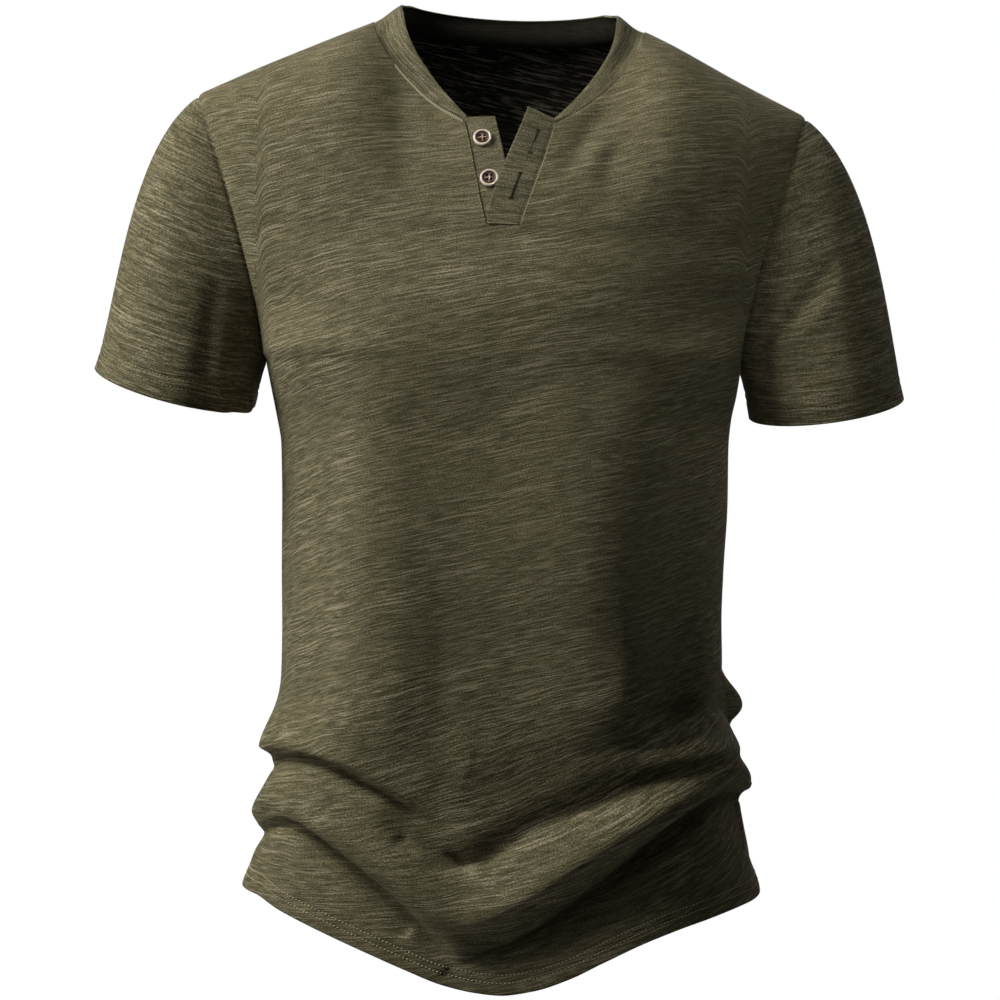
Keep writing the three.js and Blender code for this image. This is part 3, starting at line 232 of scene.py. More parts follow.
def look(table, column, at):
    """Smooth reading of a table's column, never overshooting its rows."""
    x = table[:, 0]
    y = table[:, column]
    h = np.diff(x)
    s = np.diff(y) / h
    m = np.zeros(len(x))
    both = s[:-1] * s[1:] > 0
    m[1:-1][both] = 2 * s[:-1][both] * s[1:][both] / (s[:-1][both] + s[1:][both])
    m[0], m[-1] = s[0], s[-1]
    at = np.clip(np.asarray(at, float), x[0], x[-1])
    i = np.clip(np.searchsorted(x, at, side="right") - 1, 0, len(x) - 2)
    return cubic((at - x[i]) / h[i], y[i], y[i + 1], h[i] * m[i], h[i] * m[i + 1])


def fine_path(at, sa, sb, steps=6):
    """Smooth line through a fold's points, scaled to millimetres."""
    p = np.array(at, float)
    n = len(p)
    out = []
    for i in range(n - 1):
        p0, p1, p2, p3 = p[max(i - 1, 0)], p[i], p[i + 1], p[min(i + 2, n - 1)]
        for s in range(steps + (1 if i == n - 2 else 0)):
            t = s / steps
            out.append(0.5 * (2 * p1 + (p2 - p0) * t + (2 * p0 - 5 * p1 + 4 * p2 - p3) * t * t
                              + (3 * p1 - p0 - 3 * p2 + p3) * t ** 3))
    return np.array(out) * (sa, sb, 1)


def fold_field(folds, a, b, sa, sb):
    """Lift along the normal and lap along the cloth, at points (a, b) in millimetres."""
    shape = a.shape
    a = a.ravel()
    b = b.ravel()
    lift = np.zeros(len(a))
    lap = np.zeros((len(a), 2))
    for at, up, down, tuck in folds:
        path = fine_path(at, sa, sb)
        far = FOLD_END * max(up, down) + tuck
        lo = path[:, :2].min(0) - far
        hi = path[:, :2].max(0) + far
        near = np.nonzero((a > lo[0]) & (a < hi[0]) & (b > lo[1]) & (b < hi[1]))[0]
        if not len(near):
            continue
        pa = a[near]
        pb = b[near]
        best = np.full(len(near), 1e18)
        height, side, beyond = np.zeros((3, len(near)))
        away = np.zeros((len(near), 2))
        for k in range(len(path) - 1):
            ax, ay, ah = path[k]
            bx, by, bh = path[k + 1]
            dx, dy = bx - ax, by - ay
            raw = ((pa - ax) * dx + (pb - ay) * dy) / (dx * dx + dy * dy)
            t = np.clip(raw, 0, 1)
            qx = pa - ax - dx * t
            qy = pb - ay - dy * t
            d = qx * qx + qy * qy
            take = d < best
            best = np.where(take, d, best)
            height = np.where(take, mix(ah, bh, t), height)
            upright = abs(dx) <= abs(dy)
            sd = np.ones(len(near)) if upright else np.sign(dx) * (dx * qy - dy * qx)
            side = np.where(take, sd, side)
            end = ((k == 0) & (raw < 0)) | ((k == len(path) - 2) & (raw > 1))
            beyond = np.where(take, end, beyond)
            nrm = np.array([-dy, dx]) / math.hypot(dx, dy) * (np.sign(dx) if not upright else 1)
            away = np.where(take[:, None], nrm[None], away)
        reach = np.where(beyond > 0, (up + down) / 2, np.where(side >= 0, up, down))
        lift[near] += height * np.exp(-best / reach ** 2)
        if tuck:
            dist = np.sqrt(best) * np.sign(side)
            strength = np.clip(-height / LAP_DEPTH, 0, 1.3) * np.exp(-((dist - LAP_MIDDLE) / LAP_WIDTH) ** 2)
            lap[near] -= away * (tuck * strength)[:, None]
    return lift.reshape(shape), lap.reshape(shape + (2,))


# Share of the quarter section to its angle, from one mean section
def oval(angle, half, depth):
    """Distance from the axis to a section of the body, at an angle from its front or back."""
    s, c = np.sin(angle), np.clip(np.cos(angle), 0, 1)
    return ((s / half) ** POWER + (c / depth) ** POWER) ** (-1 / POWER)


ANGLE = np.linspace(0, math.pi / 2, 721)
QUARTER = run_length(np.stack([np.sin(ANGLE), np.cos(ANGLE)], 1) * oval(ANGLE, 168, 106)[:, None])
QUARTER /= QUARTER[-1]


def lower_base(turn, z):
    """The body's smooth form below the arms."""
    turn = np.where(turn > 2, turn - 4, np.where(turn < -2, turn + 4, turn))
    whole = np.abs(turn)
    front = whole <= 1
    half = np.where(turn < 0, look(SECTIONS, 1, z), look(SECTIONS, 2, z))
    depth = np.where(front, look(SECTIONS, 3, z), look(SECTIONS, 4, z))
    angle = np.interp(np.where(front, whole, 2 - whole), QUARTER, ANGLE)
    r = oval(angle, half, depth)
    x = np.where(turn < 0, -1, 1) * r * np.sin(angle)
    y = np.where(front, -1, 1) * r * np.cos(angle)
    return np.stack([x, y, z + 0 * x], -1)


def pose(p):
    """Tilts the shoulders and moves the neck as in the photo."""
    p = p.copy()
    p[..., 2] += -0.0375 * p[..., 0] * smooth(-400, -90, p[..., 2])
    p[..., 0] += 5.7 * smooth(-160, -75, p[..., 2]) * (1 - smooth(100, 190, np.abs(p[..., 0])))
    return p


def drape_height(turn, z):
    high, middle, low = (look(DRAPES, k, turn) for k in (1, 2, 3))
    upper = mix(middle, high, smooth(-390, -290, z))
    here = mix(low, upper, smooth(-470, -390, z)) * smooth(-545, -495, z)
    return np.where(np.abs(turn) > 1, 0, here)


def body_relief(turn, z):
    lift, lap = fold_field(BODY_FOLDS, turn * ARC, z, ARC, 1)
    sign = np.where(turn < 0, -1, 1)
    lift2, lap2 = fold_field(BODY_FOLDS, (turn - 4 * sign) * ARC, z, ARC, 1)
    fade = smooth(UNDERARM_Z, UNDERARM_Z - 45, z)
    use = (np.abs(turn) > 1).astype(float)
    lap_fade = (fade * smooth(3, 24, z - look(HEM, 1, turn)))[..., None]
    return fade * (drape_height(turn, z) + lift + use * lift2), lap_fade * (lap + use[..., None] * lap2)


def lower_point(turn, z, sink=0.0):
    lift, lap = body_relief(turn, z)
    t2 = turn + lap[..., 0] / ARC
    z2 = z + lap[..., 1]
    p = lower_base(t2, z2)
    along = lower_base(t2 + 0.02, z2) - lower_base(t2 - 0.02, z2)
    n = np.stack([along[..., 1], -along[..., 0], 0 * z2], -1)
    n /= np.linalg.norm(n, axis=-1, keepdims=True)
    p = p + n * (lift - sink)[..., None]
    p[..., 2] -= 0.22 * np.maximum(0, lift) * smooth(-470, -520, z)
    return pose(p)


def armhole_half(z):
    return 175 + 49 * np.clip((z - UNDERARM_Z) / (TIP_Z - UNDERARM_Z), 0, 1) ** 1.38


def shoulder_line(x):
    w = np.abs(x)
    return np.where(w >= HPS_X, SLOPE * (w - HPS_X), -SLOPE * (HPS_X / 2) * (1 - (w / HPS_X) ** 2))


def upper_depth(x, z, face):
    w = np.clip(np.abs(x) / armhole_half(z), 0, 1)
    middle = look(MIDDLE, 1 if face == "front" else 2, z)
    q = np.clip((YOKE_Z - 5 - z) / (YOKE_Z - 5 - UNDERARM_Z), 0, 1)
    edge = EDGE_DEPTH[face] * np.sqrt(1 - q * q)
    flat = mix(0.4, 1, smooth(UNDERARM_Z, UNDERARM_Z + 48, z))
    bow = edge + (middle - edge) * (1 - w ** POWER) ** flat
    t = np.clip((z - YOKE_Z) / (shoulder_line(x) - YOKE_Z), 0, 1)
    round_neck, start = (1.25, 70) if face == "front" else (2.3, 40)
    rnd = mix(round_neck, 2.1, smooth(start, 130, np.abs(x)))
    return bow * (1 - t ** rnd) ** (1 / rnd)


def upper_base(x, z, face):
    sign = -1 if face == "front" else 1
    return np.stack([x + 0 * z, sign * upper_depth(x, z, face), z + 0 * x], -1)


def upper_point(x, z, face, lift=0.0):
    x = np.asarray(x, float)
    z = np.asarray(z, float)
    sign = -1 if face == "front" else 1
    folds = FRONT_FOLDS if face == "front" else BACK_FOLDS
    relief, _ = fold_field(folds, x, z, 1, 1)
    relief = relief * smooth(0, 26, armhole_half(z) - np.abs(x)) * smooth(0, 20, shoulder_line(x) - z)
    relief = relief * smooth(UNDERARM_Z, UNDERARM_Z + 20, z) + lift
    p = upper_base(x, z, face)
    du = upper_base(x + 1, z, face) - upper_base(x - 1, z, face)
    dz = upper_base(x, z + 1, face) - upper_base(x, z - 1, face)
    n = np.cross(du, dz) * -sign
    n /= np.linalg.norm(n, axis=-1, keepdims=True)
    return pose(p + n * relief[..., None])


def neck_z(x):
    return -88 * (1 - np.clip(np.abs(x) / HPS_X, 0, 1) ** 1.55) ** (1 / 1.55)


def yoke_x(col):
    half = armhole_half(YOKE_Z)
    left = mix(-half, NOTCH_LEFT, np.clip(col / SIDE_COLS, 0, 1) ** 0.96)
    right = mix(half, NOTCH_RIGHT, np.clip((COLS - col) / SIDE_COLS, 0, 1) ** 0.96)
    mid = mix(NOTCH_LEFT, NOTCH_RIGHT, (col - SIDE_COLS) / NOTCH_COLS)
    return np.where(col <= SIDE_COLS, left, np.where(col < SIDE_COLS + NOTCH_COLS, mid, right))


def top_edge(col, face):
    left = col <= COLS / 2
    k = np.where(left, col, COLS - col)
    sign = np.where(left, -1.0, 1.0)
    x1 = mix(TIP_X, HPS_X, np.clip(k / SHOULDER_COLS, 0, 1))
    if face == "front":
        share = np.clip((k - SHOULDER_COLS) / 8.0, 0, 1.2)
        x2 = mix(HPS_X, 32.7, share ** 1.35)
        z2 = neck_z(x2)
    else:
        share = np.clip((k - SHOULDER_COLS) / (COLS - 2 * SHOULDER_COLS), 0, 1)
        a = math.pi * (1 - share)
        x2 = -HPS_X * np.cos(a)
        z2 = -5 * np.sin(a) ** 2
    on = k <= SHOULDER_COLS
    return sign * np.where(on, x1, x2), np.where(on, shoulder_line(x1), z2)


def yoke_point(col, t, face):
    left = col <= COLS / 2
    sign = np.where(left, -1.0, 1.0)
    k = np.where(left, col, COLS - col)
    share = np.clip(k / (COLS / 2 if face == "back" else SIDE_COLS), 0, 1)
    tx, tz = top_edge(col, face)
    edge_x = sign * armhole_half(mix(YOKE_Z, TIP_Z, t))
    straight = mix(sign * armhole_half(YOKE_Z), sign * TIP_X, t)
    x = mix(yoke_x(col), tx, t) + (1 - share) * (edge_x - straight)
    return x, mix(YOKE_Z, tz, t)


# Column and row plans, closer together at seams
def column_plan():
    fine = 5
    edge = [0, 0.09, 0.2, 0.36, 0.6]
    cols = edge + list(np.arange(fine, COLS * fine - fine + 1) / fine) + [COLS - e for e in edge]
    for c, s in ((SIDE_COLS, -1), (SIDE_COLS + NOTCH_COLS, 1)):
        cols += [c + s * 0.1, c + s * 0.22]
    return np.array(sorted(set(round(c, 4) for c in cols)))


COL = column_plan()
STEP = 1
LOWER = np.concatenate([
    np.linspace(0, 0.045, 16, endpoint=False),
    np.linspace(0.045, 0.5, 95 // STEP, endpoint=False),
    np.linspace(0.5, 1, 46 // STEP + 1),
])
CHEST = np.linspace(UNDERARM_Z, YOKE_Z, 27 // STEP + 1)[1:]
YOKE = np.concatenate([np.linspace(0, 0.93, 40 // STEP + 1)[1:], [0.95, 0.965, 0.978, 0.988, 0.995, 1.0]])


def grain_sag(turn, z):
    """How far the knit's courses hang lower in the middle of the belly than at the hips."""
    w = np.clip(np.abs(turn), 0, 1)
    w = np.where(np.abs(turn) > 1, 2 - np.abs(turn), w)
    return 46 * smooth(-470, -640, z) * (1 - w ** 1.5)


# Reach and steps of the tables of length along the cloth, and the steepest cloth they follow
TABLE_X, TABLE_Z, STEP_X, STEP_Z, STEEPEST = 228, -252, 3.0, 1.5, 1.9


def arc_tables(face):
    """Length along the cloth up from the underarm and out from the middle, by x and z."""
    x = np.arange(-TABLE_X, TABLE_X + 1, STEP_X)[None]
    z = np.arange(TABLE_Z, 30, STEP_Z)[:, None]
    depth = upper_depth(x + 0 * z, z + 0 * x, face)
    dz = np.minimum(np.hypot(1, np.gradient(depth, axis=0) / STEP_Z), STEEPEST)
    dx = np.minimum(np.hypot(1, np.gradient(depth, axis=1) / STEP_X), STEEPEST)
    up = np.cumsum(dz, axis=0) * STEP_Z
    out = np.cumsum(dx, axis=1) * STEP_X
    return up - up[1] + z[1] + 0.5, out - out[:, [x.size // 2]]


def read_table(table, x, z):
    i = np.clip((z - TABLE_Z) / STEP_Z, 0, table.shape[0] - 1.001)
    j = np.clip((x + TABLE_X) / STEP_X, 0, table.shape[1] - 1.001)
    i0, j0 = i.astype(int), j.astype(int)
    fi, fj = i - i0, j - j0
    row = mix(table[i0, j0], table[i0, j0 + 1], fj)
    return mix(row, mix(table[i0 + 1, j0], table[i0 + 1, j0 + 1], fj), fi)


# Thickness of the cloth: body, sleeves, neckband and placket
WALL, SLEEVE_WALL, BAND_WALL, PLACKET_WALL = 1.15, 0.9, 1.8, 1.3
# Rise of the knit's courses toward the right, per millimetre along the cloth
COURSE_RISE = 0.21
# Distance of the stitch rows from the body's hem and from the cuffs
HEM_ROWS = (8.5, 14.0)
CUFF_ROWS = (12.0, 18.0)


def grooves(distance, rows, width):
    """How much of the full depth the cloth is drawn in by rows of stitches."""
    return sum(np.exp(-((distance - row) / width) ** 2) for row in rows)


def panel_grid(face):
    """Outer and inner points of a panel, its place in the knit, its winding and the cells it keeps."""
    even = 2 * COL / COLS - 1
    yoke_share = np.clip(yoke_x(COL) / armhole_half(YOKE_Z), -1, 1)

    def turn_of(share):
        if face == "front":
            return share
        share = np.where(share == 0, 1e-6, share)
        return np.where(share < 0, -2 - share, 2 - share)

    r = LOWER[:, None]
    share = mix(even[None], yoke_share[None], smooth(0.55, 1, r) * 0.35)
    turn = turn_of(share)
    hem = look(HEM, 1, turn)
    z = mix(hem, UNDERARM_Z, r)
    groove = 0.55 * grooves(z - hem, HEM_ROWS, 1.2)
    base = lower_base(turn_of(mix(even, yoke_share, 0.35)), np.full(len(COL), UNDERARM_Z))
    under = np.clip(base[:, 0] / armhole_half(UNDERARM_Z), -1, 1)
    under[0], under[-1] = -1, 1
    zc = CHEST[:, None]
    t = smooth(UNDERARM_Z, YOKE_Z, zc)
    w = mix(under[None], yoke_share[None], t)
    xc = w * armhole_half(zc)
    xy, zy = yoke_point(COL[None], YOKE[:, None], face)
    xa = np.concatenate([xc, xy])
    za = np.concatenate([zc + 0 * w, zy])
    grid = np.concatenate([lower_point(turn, z, groove), upper_point(xa, za, face)])
    inner = np.concatenate([lower_point(turn, z, WALL), upper_point(xa, za, face, -WALL)])
    up, out = arc_tables(face)
    blend = smooth(UNDERARM_Z, UNDERARM_Z + 60, za)
    u_low = share * ARC
    u = np.concatenate([u_low, mix(u_low[-1:] + 0 * xa, read_table(out, xa, za), blend)])
    v = np.concatenate([z + grain_sag(turn, z), read_table(up, xa, za)])
    sign = 1 if face == "front" else -1
    v = v - sign * COURSE_RISE * u
    n_low = len(LOWER)
    seam = (COL <= SHOULDER_COLS) | (COL >= COLS - SHOULDER_COLS)
    for layer in (grid, inner):
        layer[:n_low, (0, -1), 1] = -sign * SEAM
        layer[-1, seam, 1] = -sign * SEAM
    keep = np.ones((grid.shape[0] - 1, grid.shape[1] - 1), bool)
    if face == "front":
        mid = (COL[:-1] >= SIDE_COLS - 1e-6) & (COL[1:] <= SIDE_COLS + NOTCH_COLS + 1e-6)
        keep[n_low + len(CHEST) - 1:, mid] = False
    return grid, inner, u, v, sign, keep


def normals_of(grid, sign, keep=None, tube=False):
    d1 = grid[1:, 1:] - grid[:-1, :-1]
    d2 = grid[1:, :-1] - grid[:-1, 1:]
    n = np.cross(d1, d2) * sign
    if keep is not None:
        n = n * keep[..., None]
    out = np.zeros_like(grid)
    out[:-1, :-1] += n
    out[1:, :-1] += n
    out[:-1, 1:] += n
    out[1:, 1:] += n
    if tube:
        out[:, (0, -1)] = out[:, [0]] + out[:, [-1]]
    return unit(out)


def ditch(grid, normals, axis, edges, deep, reach, share=1.0):
    """Sinks the cloth along the given rows (0) or columns (1), so that they read as sewn."""
    d = run_length(grid, axis)
    away = [d - np.take(d, [edge % d.shape[axis]], axis) for edge in edges]
    drop = np.max([np.exp(-(a / reach) ** 2) for a in away], axis=0)
    return grid - normals * (deep * share * drop)[..., None]


def mesh_object(name, verts, faces, mats, mat_index=None, uv=None):
    """Mesh from arrays; faces is an (n, 4) array, uv is per vertex."""
    me = bpy.data.meshes.new(name)
    nf = len(faces)
    me.vertices.add(len(verts))
    me.vertices.foreach_set("co", np.asarray(verts * MM, np.float32).ravel())
    me.loops.add(nf * 4)
    me.loops.foreach_set("vertex_index", np.asarray(faces, np.int32).ravel())
    me.polygons.add(nf)
    me.polygons.foreach_set("loop_start", np.arange(0, nf * 4, 4, dtype=np.int32))
    me.polygons.foreach_set("use_smooth", np.ones(nf, bool))
    for m in mats:
        me.materials.append(m)
    if mat_index is not None:
        me.polygons.foreach_set("material_index", np.asarray(mat_index, np.int32))
    if uv is not None:
        layer = me.uv_layers.new(name="cloth")
        layer.data.foreach_set("uv", np.asarray(uv[np.asarray(faces).ravel()], np.float32).ravel())
    me.update(calc_edges=True)
    me.validate()
    ob = bpy.data.objects.new(name, me)
    bpy.context.scene.collection.objects.link(ob)
    return ob


def cloth_shell(name, grid, inner, u, v, sign, mats, keep=None, tube=False):
    """Double-walled cloth between an outer and an inner grid."""
    rows, cols = grid.shape[:2]
    if keep is None:
        keep = np.ones((rows - 1, cols - 1), bool)
    ids = np.arange(rows * cols).reshape(rows, cols)
    if tube:
        ids[:, -1] = ids[:, 0]
    n = rows * cols
    rr, cc = np.nonzero(keep)
    o = np.stack([ids[rr, cc], ids[rr, cc + 1], ids[rr + 1, cc + 1], ids[rr + 1, cc]], 1)
    if sign < 0:
        o = o[:, ::-1]
    faces = [o, o[:, [2, 1, 0, 3]] + n]
    index = [np.zeros(len(o)), np.ones(len(o))]
    pad = np.zeros((rows + 1, cols + 1), bool)
    pad[1:-1, 1:-1] = keep
    if tube:
        pad[:, 0] = pad[:, -2]
        pad[:, -1] = pad[:, 1]
    rims = []
    corners = ((0, 0), (0, 1), (1, 1), (1, 0), (0, 0))
    for (dr, dc), a, b in zip(((-1, 0), (0, 1), (1, 0), (0, -1)), corners, corners[1:]):
        open_side = ~pad[rr + 1 + dr, cc + 1 + dc]
        r0, c0 = rr[open_side], cc[open_side]
        p = ids[r0 + a[0], c0 + a[1]]
        q = ids[r0 + b[0], c0 + b[1]]
        f = np.stack([q, p, p + n, q + n], 1)
        rims.append(f if sign > 0 else f[:, ::-1])
    faces = np.concatenate(faces + rims).astype(int)
    index = np.concatenate(index + [np.zeros(len(rim)) for rim in rims])
    verts = np.concatenate([grid.reshape(-1, 3), inner.reshape(-1, 3)])
    uv = np.stack([u.ravel(), v.ravel()], 1) * MM
    uv = np.concatenate([uv, uv])
    used = np.unique(faces)
    remap = np.full(len(verts), -1)
    remap[used] = np.arange(len(used))
    return mesh_object(name, verts[used], remap[faces], mats, index, uv[used])


def dress(ob, node=None):
    """Fastens a piece to the body, in place of its solid where it has one."""
    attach(ob, "root")
    if node:
        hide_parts(node)


# Materials
def srgb(r, g, b):
    def lin(c):
        c /= 255
        return c / 12.92 if c <= 0.04045 else ((c + 0.055) / 1.055) ** 2.4
    return (lin(r), lin(g), lin(b), 1)


def shader(name, rough, spec):
    """New material, with functions that add a node and fill in sockets, and its surface shader."""
    mat = bpy.data.materials.new(name)
    mat.use_nodes = True
    nodes, links = mat.node_tree.nodes, mat.node_tree.links

    def feed(node, sockets):
        for key, value in sockets.items():
            if isinstance(value, bpy.types.NodeSocket):
                links.new(value, node.inputs[key])
            else:
                node.inputs[key].default_value = value

    def add(kind, sockets, **settings):
        node = nodes.new("ShaderNode" + kind)
        for key, value in settings.items():
            setattr(node, key, value)
        feed(node, sockets)
        return node.outputs

    surface = nodes["Principled BSDF"]
    feed(surface, {"Roughness": rough, "Specular IOR Level": spec})
    return mat, add, feed, surface


# Painted shade in the sunken gaps between yarns, tint of the cloth's sheen and height of its bumps in metres
GAP_PAINTED_SHADE = (0.36, 0.36, 0.33, 1)
SHEEN_TINT = (0.72, 0.66, 0.5, 1)
BUMP_HEIGHT = 0.0007


def knit(name, base, dark, pale, streak=0.54, bump=0.4, sheen=0.07, offset=0.0, coarse=1.0):
    """Slub jersey: long pale slubs along the courses, mottled yarn and a fine knit surface."""
    mat, add, feed, surface = shader(name, 0.9, 0.18)
    cloth = add("UVMap", {}, uv_map="cloth")[0]
    # Gentle wander of the courses
    wander = add("TexNoise", {"Vector": cloth, "Scale": 22.0, "Detail": 1.0})["Color"]
    wander = add("VectorMath", {0: wander, 1: (0.5, 0.5, 0.5)}, operation="SUBTRACT")[0]
    wander = add("VectorMath", {0: wander, 1: (0.0, 0.005, 0.0)}, operation="MULTIPLY")[0]
    warped = add("VectorMath", {0: cloth, 1: wander}, operation="ADD")[0]

    def noise(su, sv, ou, ov, detail, rough):
        """Noise with su and sv cells a metre, along and across the courses."""
        place = (ou + offset, ov + offset * 1.7, offset)
        at = add("Mapping", {"Vector": warped, "Scale": (su, sv, 1), "Location": place})[0]
        return add("TexNoise", {"Vector": at, "Scale": 1.0, "Detail": detail, "Roughness": rough})[0]

    def ramp(value, lo, hi, a=0.0, b=1.0):
        return add("MapRange", {0: value, 1: lo, 2: hi, 3: a, 4: b}, interpolation_type="SMOOTHSTEP")[0]

    def calc(operation, a, b):
        return add("Math", {0: a, 1: b}, operation=operation)[0]

    def blend(share, a, b, kind="MIX"):
        return add("Mix", {0: share, 6: a, 7: b}, data_type="RGBA", blend_type=kind)[2]

    slub_long = noise(20, 700 * coarse, 3.1, 1.7, 1.2, 0.5)
    slub_mid = noise(75, 1000 * coarse, 9.2, 4.4, 1.5, 0.55)
    mottle = noise(70, 420, 1.3, 8.8, 3.0, 0.6)
    broad = noise(11, 28, 5.3, 2.8, 2.0, 0.55)
    grain = noise(800, 1500, 0.3, 0.8, 1.0, 0.5)
    slub = calc("MAXIMUM", ramp(slub_long, 0.56, 0.65), calc("MULTIPLY", ramp(slub_mid, 0.54, 0.66), 0.8))
    slub = calc("MULTIPLY", slub, ramp(broad, 0.32, 0.68, 0.35, 1.0))
    # Gaps between the slubs: sunk in the bump below and darkened with painted shade
    gap = calc("MAXIMUM", ramp(slub_mid, 0.48, 0.36), calc("MULTIPLY", ramp(slub_long, 0.45, 0.36), 0.8))
    color = blend(ramp(mottle, 0.3, 0.62), dark, base)
    color = blend(calc("MULTIPLY", gap, 0.52), color, GAP_PAINTED_SHADE, "MULTIPLY")
    color = blend(calc("MULTIPLY", slub, streak), color, pale)
    shade = ramp(grain, 0.28, 0.72, 0.5, 1.55)
    color = blend(1.0, color, add("CombineColor", {0: shade, 1: shade, 2: shade})[0], "MULTIPLY")
    height = calc("SUBTRACT", slub, calc("MULTIPLY", gap, 0.7))
    for surface_noise in (grain, mottle):
        height = calc("ADD", height, calc("MULTIPLY", surface_noise, 0.5))
    normal = add("Bump", {"Height": height, "Strength": bump, "Distance": BUMP_HEIGHT})[0]
    feed(surface, {"Base Color": color, "Normal": normal})
    feed(surface, {"Sheen Weight": sheen, "Sheen Roughness": 0.45, "Sheen Tint": SHEEN_TINT})
    return mat


def plain(name, color, rough, spec):
    mat, _, feed, surface = shader(name, rough, spec)
    feed(surface, {"Base Color": color})
    return mat


def button_material(name, a, b, scale, rough):
    mat, add, feed, surface = shader(name, rough, 0.5)
    cloud = add("TexNoise", {"Vector": add("TexCoord", {})["Object"], "Scale": scale, "Detail": 3.0})[0]
    feed(surface, {"Base Color": add("Mix", {0: cloud, 6: a, 7: b}, data_type="RGBA")[2]})
    return mat


# Colours of the knit, as linear light
BASE = (0.155, 0.136, 0.072, 1)
DARK = (0.098, 0.088, 0.043, 1)
PALE = (0.42, 0.37, 0.24, 1)
body_mat = knit("slub_jersey", BASE, DARK, PALE)
sleeve_mat = knit("slub_jersey_sleeve", BASE, DARK, PALE, offset=13.7)
trim_mat = knit("slub_jersey_trim", (0.165, 0.148, 0.084, 1), (0.11, 0.1, 0.052, 1), PALE,
                streak=0.36, offset=5.1)
# Inside of the cloth: the knit's ground darkened to near black as painted shade of the shirt's hollow inside,
# its pale slubs kept
inside_painted_shade_mat = knit("slub_jersey_inside_painted_shade", (0.022, 0.02, 0.011, 1), (0.012, 0.011, 0.006, 1),
                 (0.42, 0.39, 0.31, 1), streak=0.55, bump=0.25, sheen=0.05, offset=21.0, coarse=0.6)
# Inside of the neckband: near black all over, slubs and all, as painted shade
band_inside_painted_shade_mat = knit("slub_jersey_band_inside_painted_shade", (0.014, 0.013, 0.007, 1), (0.009, 0.008, 0.004, 1),
                  (0.02, 0.018, 0.011, 1), streak=0.4, bump=0.2, sheen=0.0, offset=8.0)
thread_mat = plain("thread", srgb(190, 180, 146), 0.75, 0.25)
thread_dark = plain("thread_dark", srgb(52, 47, 32), 0.8, 0.2)
# Near black for the bars along the buttonhole slits: painted shadow of their openings
slit_shadow_mat = plain("slit", srgb(16, 14, 9), 0.9, 0.1)
brown = button_material("button_brown", srgb(40, 22, 14), srgb(92, 58, 40), 900, 0.4)
rim_mat = button_material("button_rim", srgb(214, 190, 168), srgb(250, 236, 218), 500, 0.35)
thread_pale = plain("button_thread", srgb(196, 168, 148), 0.6, 0.3)

# Where each piece starts in the knit, so that no two repeat each other
PANEL_U = {"front": 0.0, "back": 700.0}
SLEEVE_U = {"left": 1500, "right": 2300}
BAND_U, UNDERLAP_U, OVERLAP_U = 3100, 4000, 4400

# Body panels
panels = {}
for face in ("front", "back"):
    flat_grid, inner, u, v, sign, keep = panel_grid(face)
    nrm = normals_of(flat_grid, sign, keep)
    top_rows = (np.arange(len(flat_grid)) >= len(LOWER) - 1)[:, None]
    grid = ditch(flat_grid, nrm, 1, (0, -1), 1.2, 1.8)
    grid = ditch(grid, nrm, 0, (-1,), 0.7, 1.6, top_rows)
    inner = inner + (grid - flat_grid)
    u = u + PANEL_U[face]
    ob = cloth_shell(face + "_panel_cloth", grid, inner, u, v, sign, [body_mat, inside_painted_shade_mat], keep)
    dress(ob, face + "_panel")
    panels[face] = {"grid": grid, "normals": normals_of(grid, sign, keep), "object": ob}


# Sleeves
def armhole_ring(side):
    """Points round the armhole from under the arm up the front, and which one is the shoulder tip."""
    c = 0 if side == "left" else -1
    start = len(LOWER) - 1
    front, back = (panels[face]["grid"] for face in ("front", "back"))
    ring = np.concatenate([front[start:, c], back[start + 1:-1, c][::-1]])
    top = len(front) - 1 - start
    ring[[0, top], 1] = 0
    return ring, top


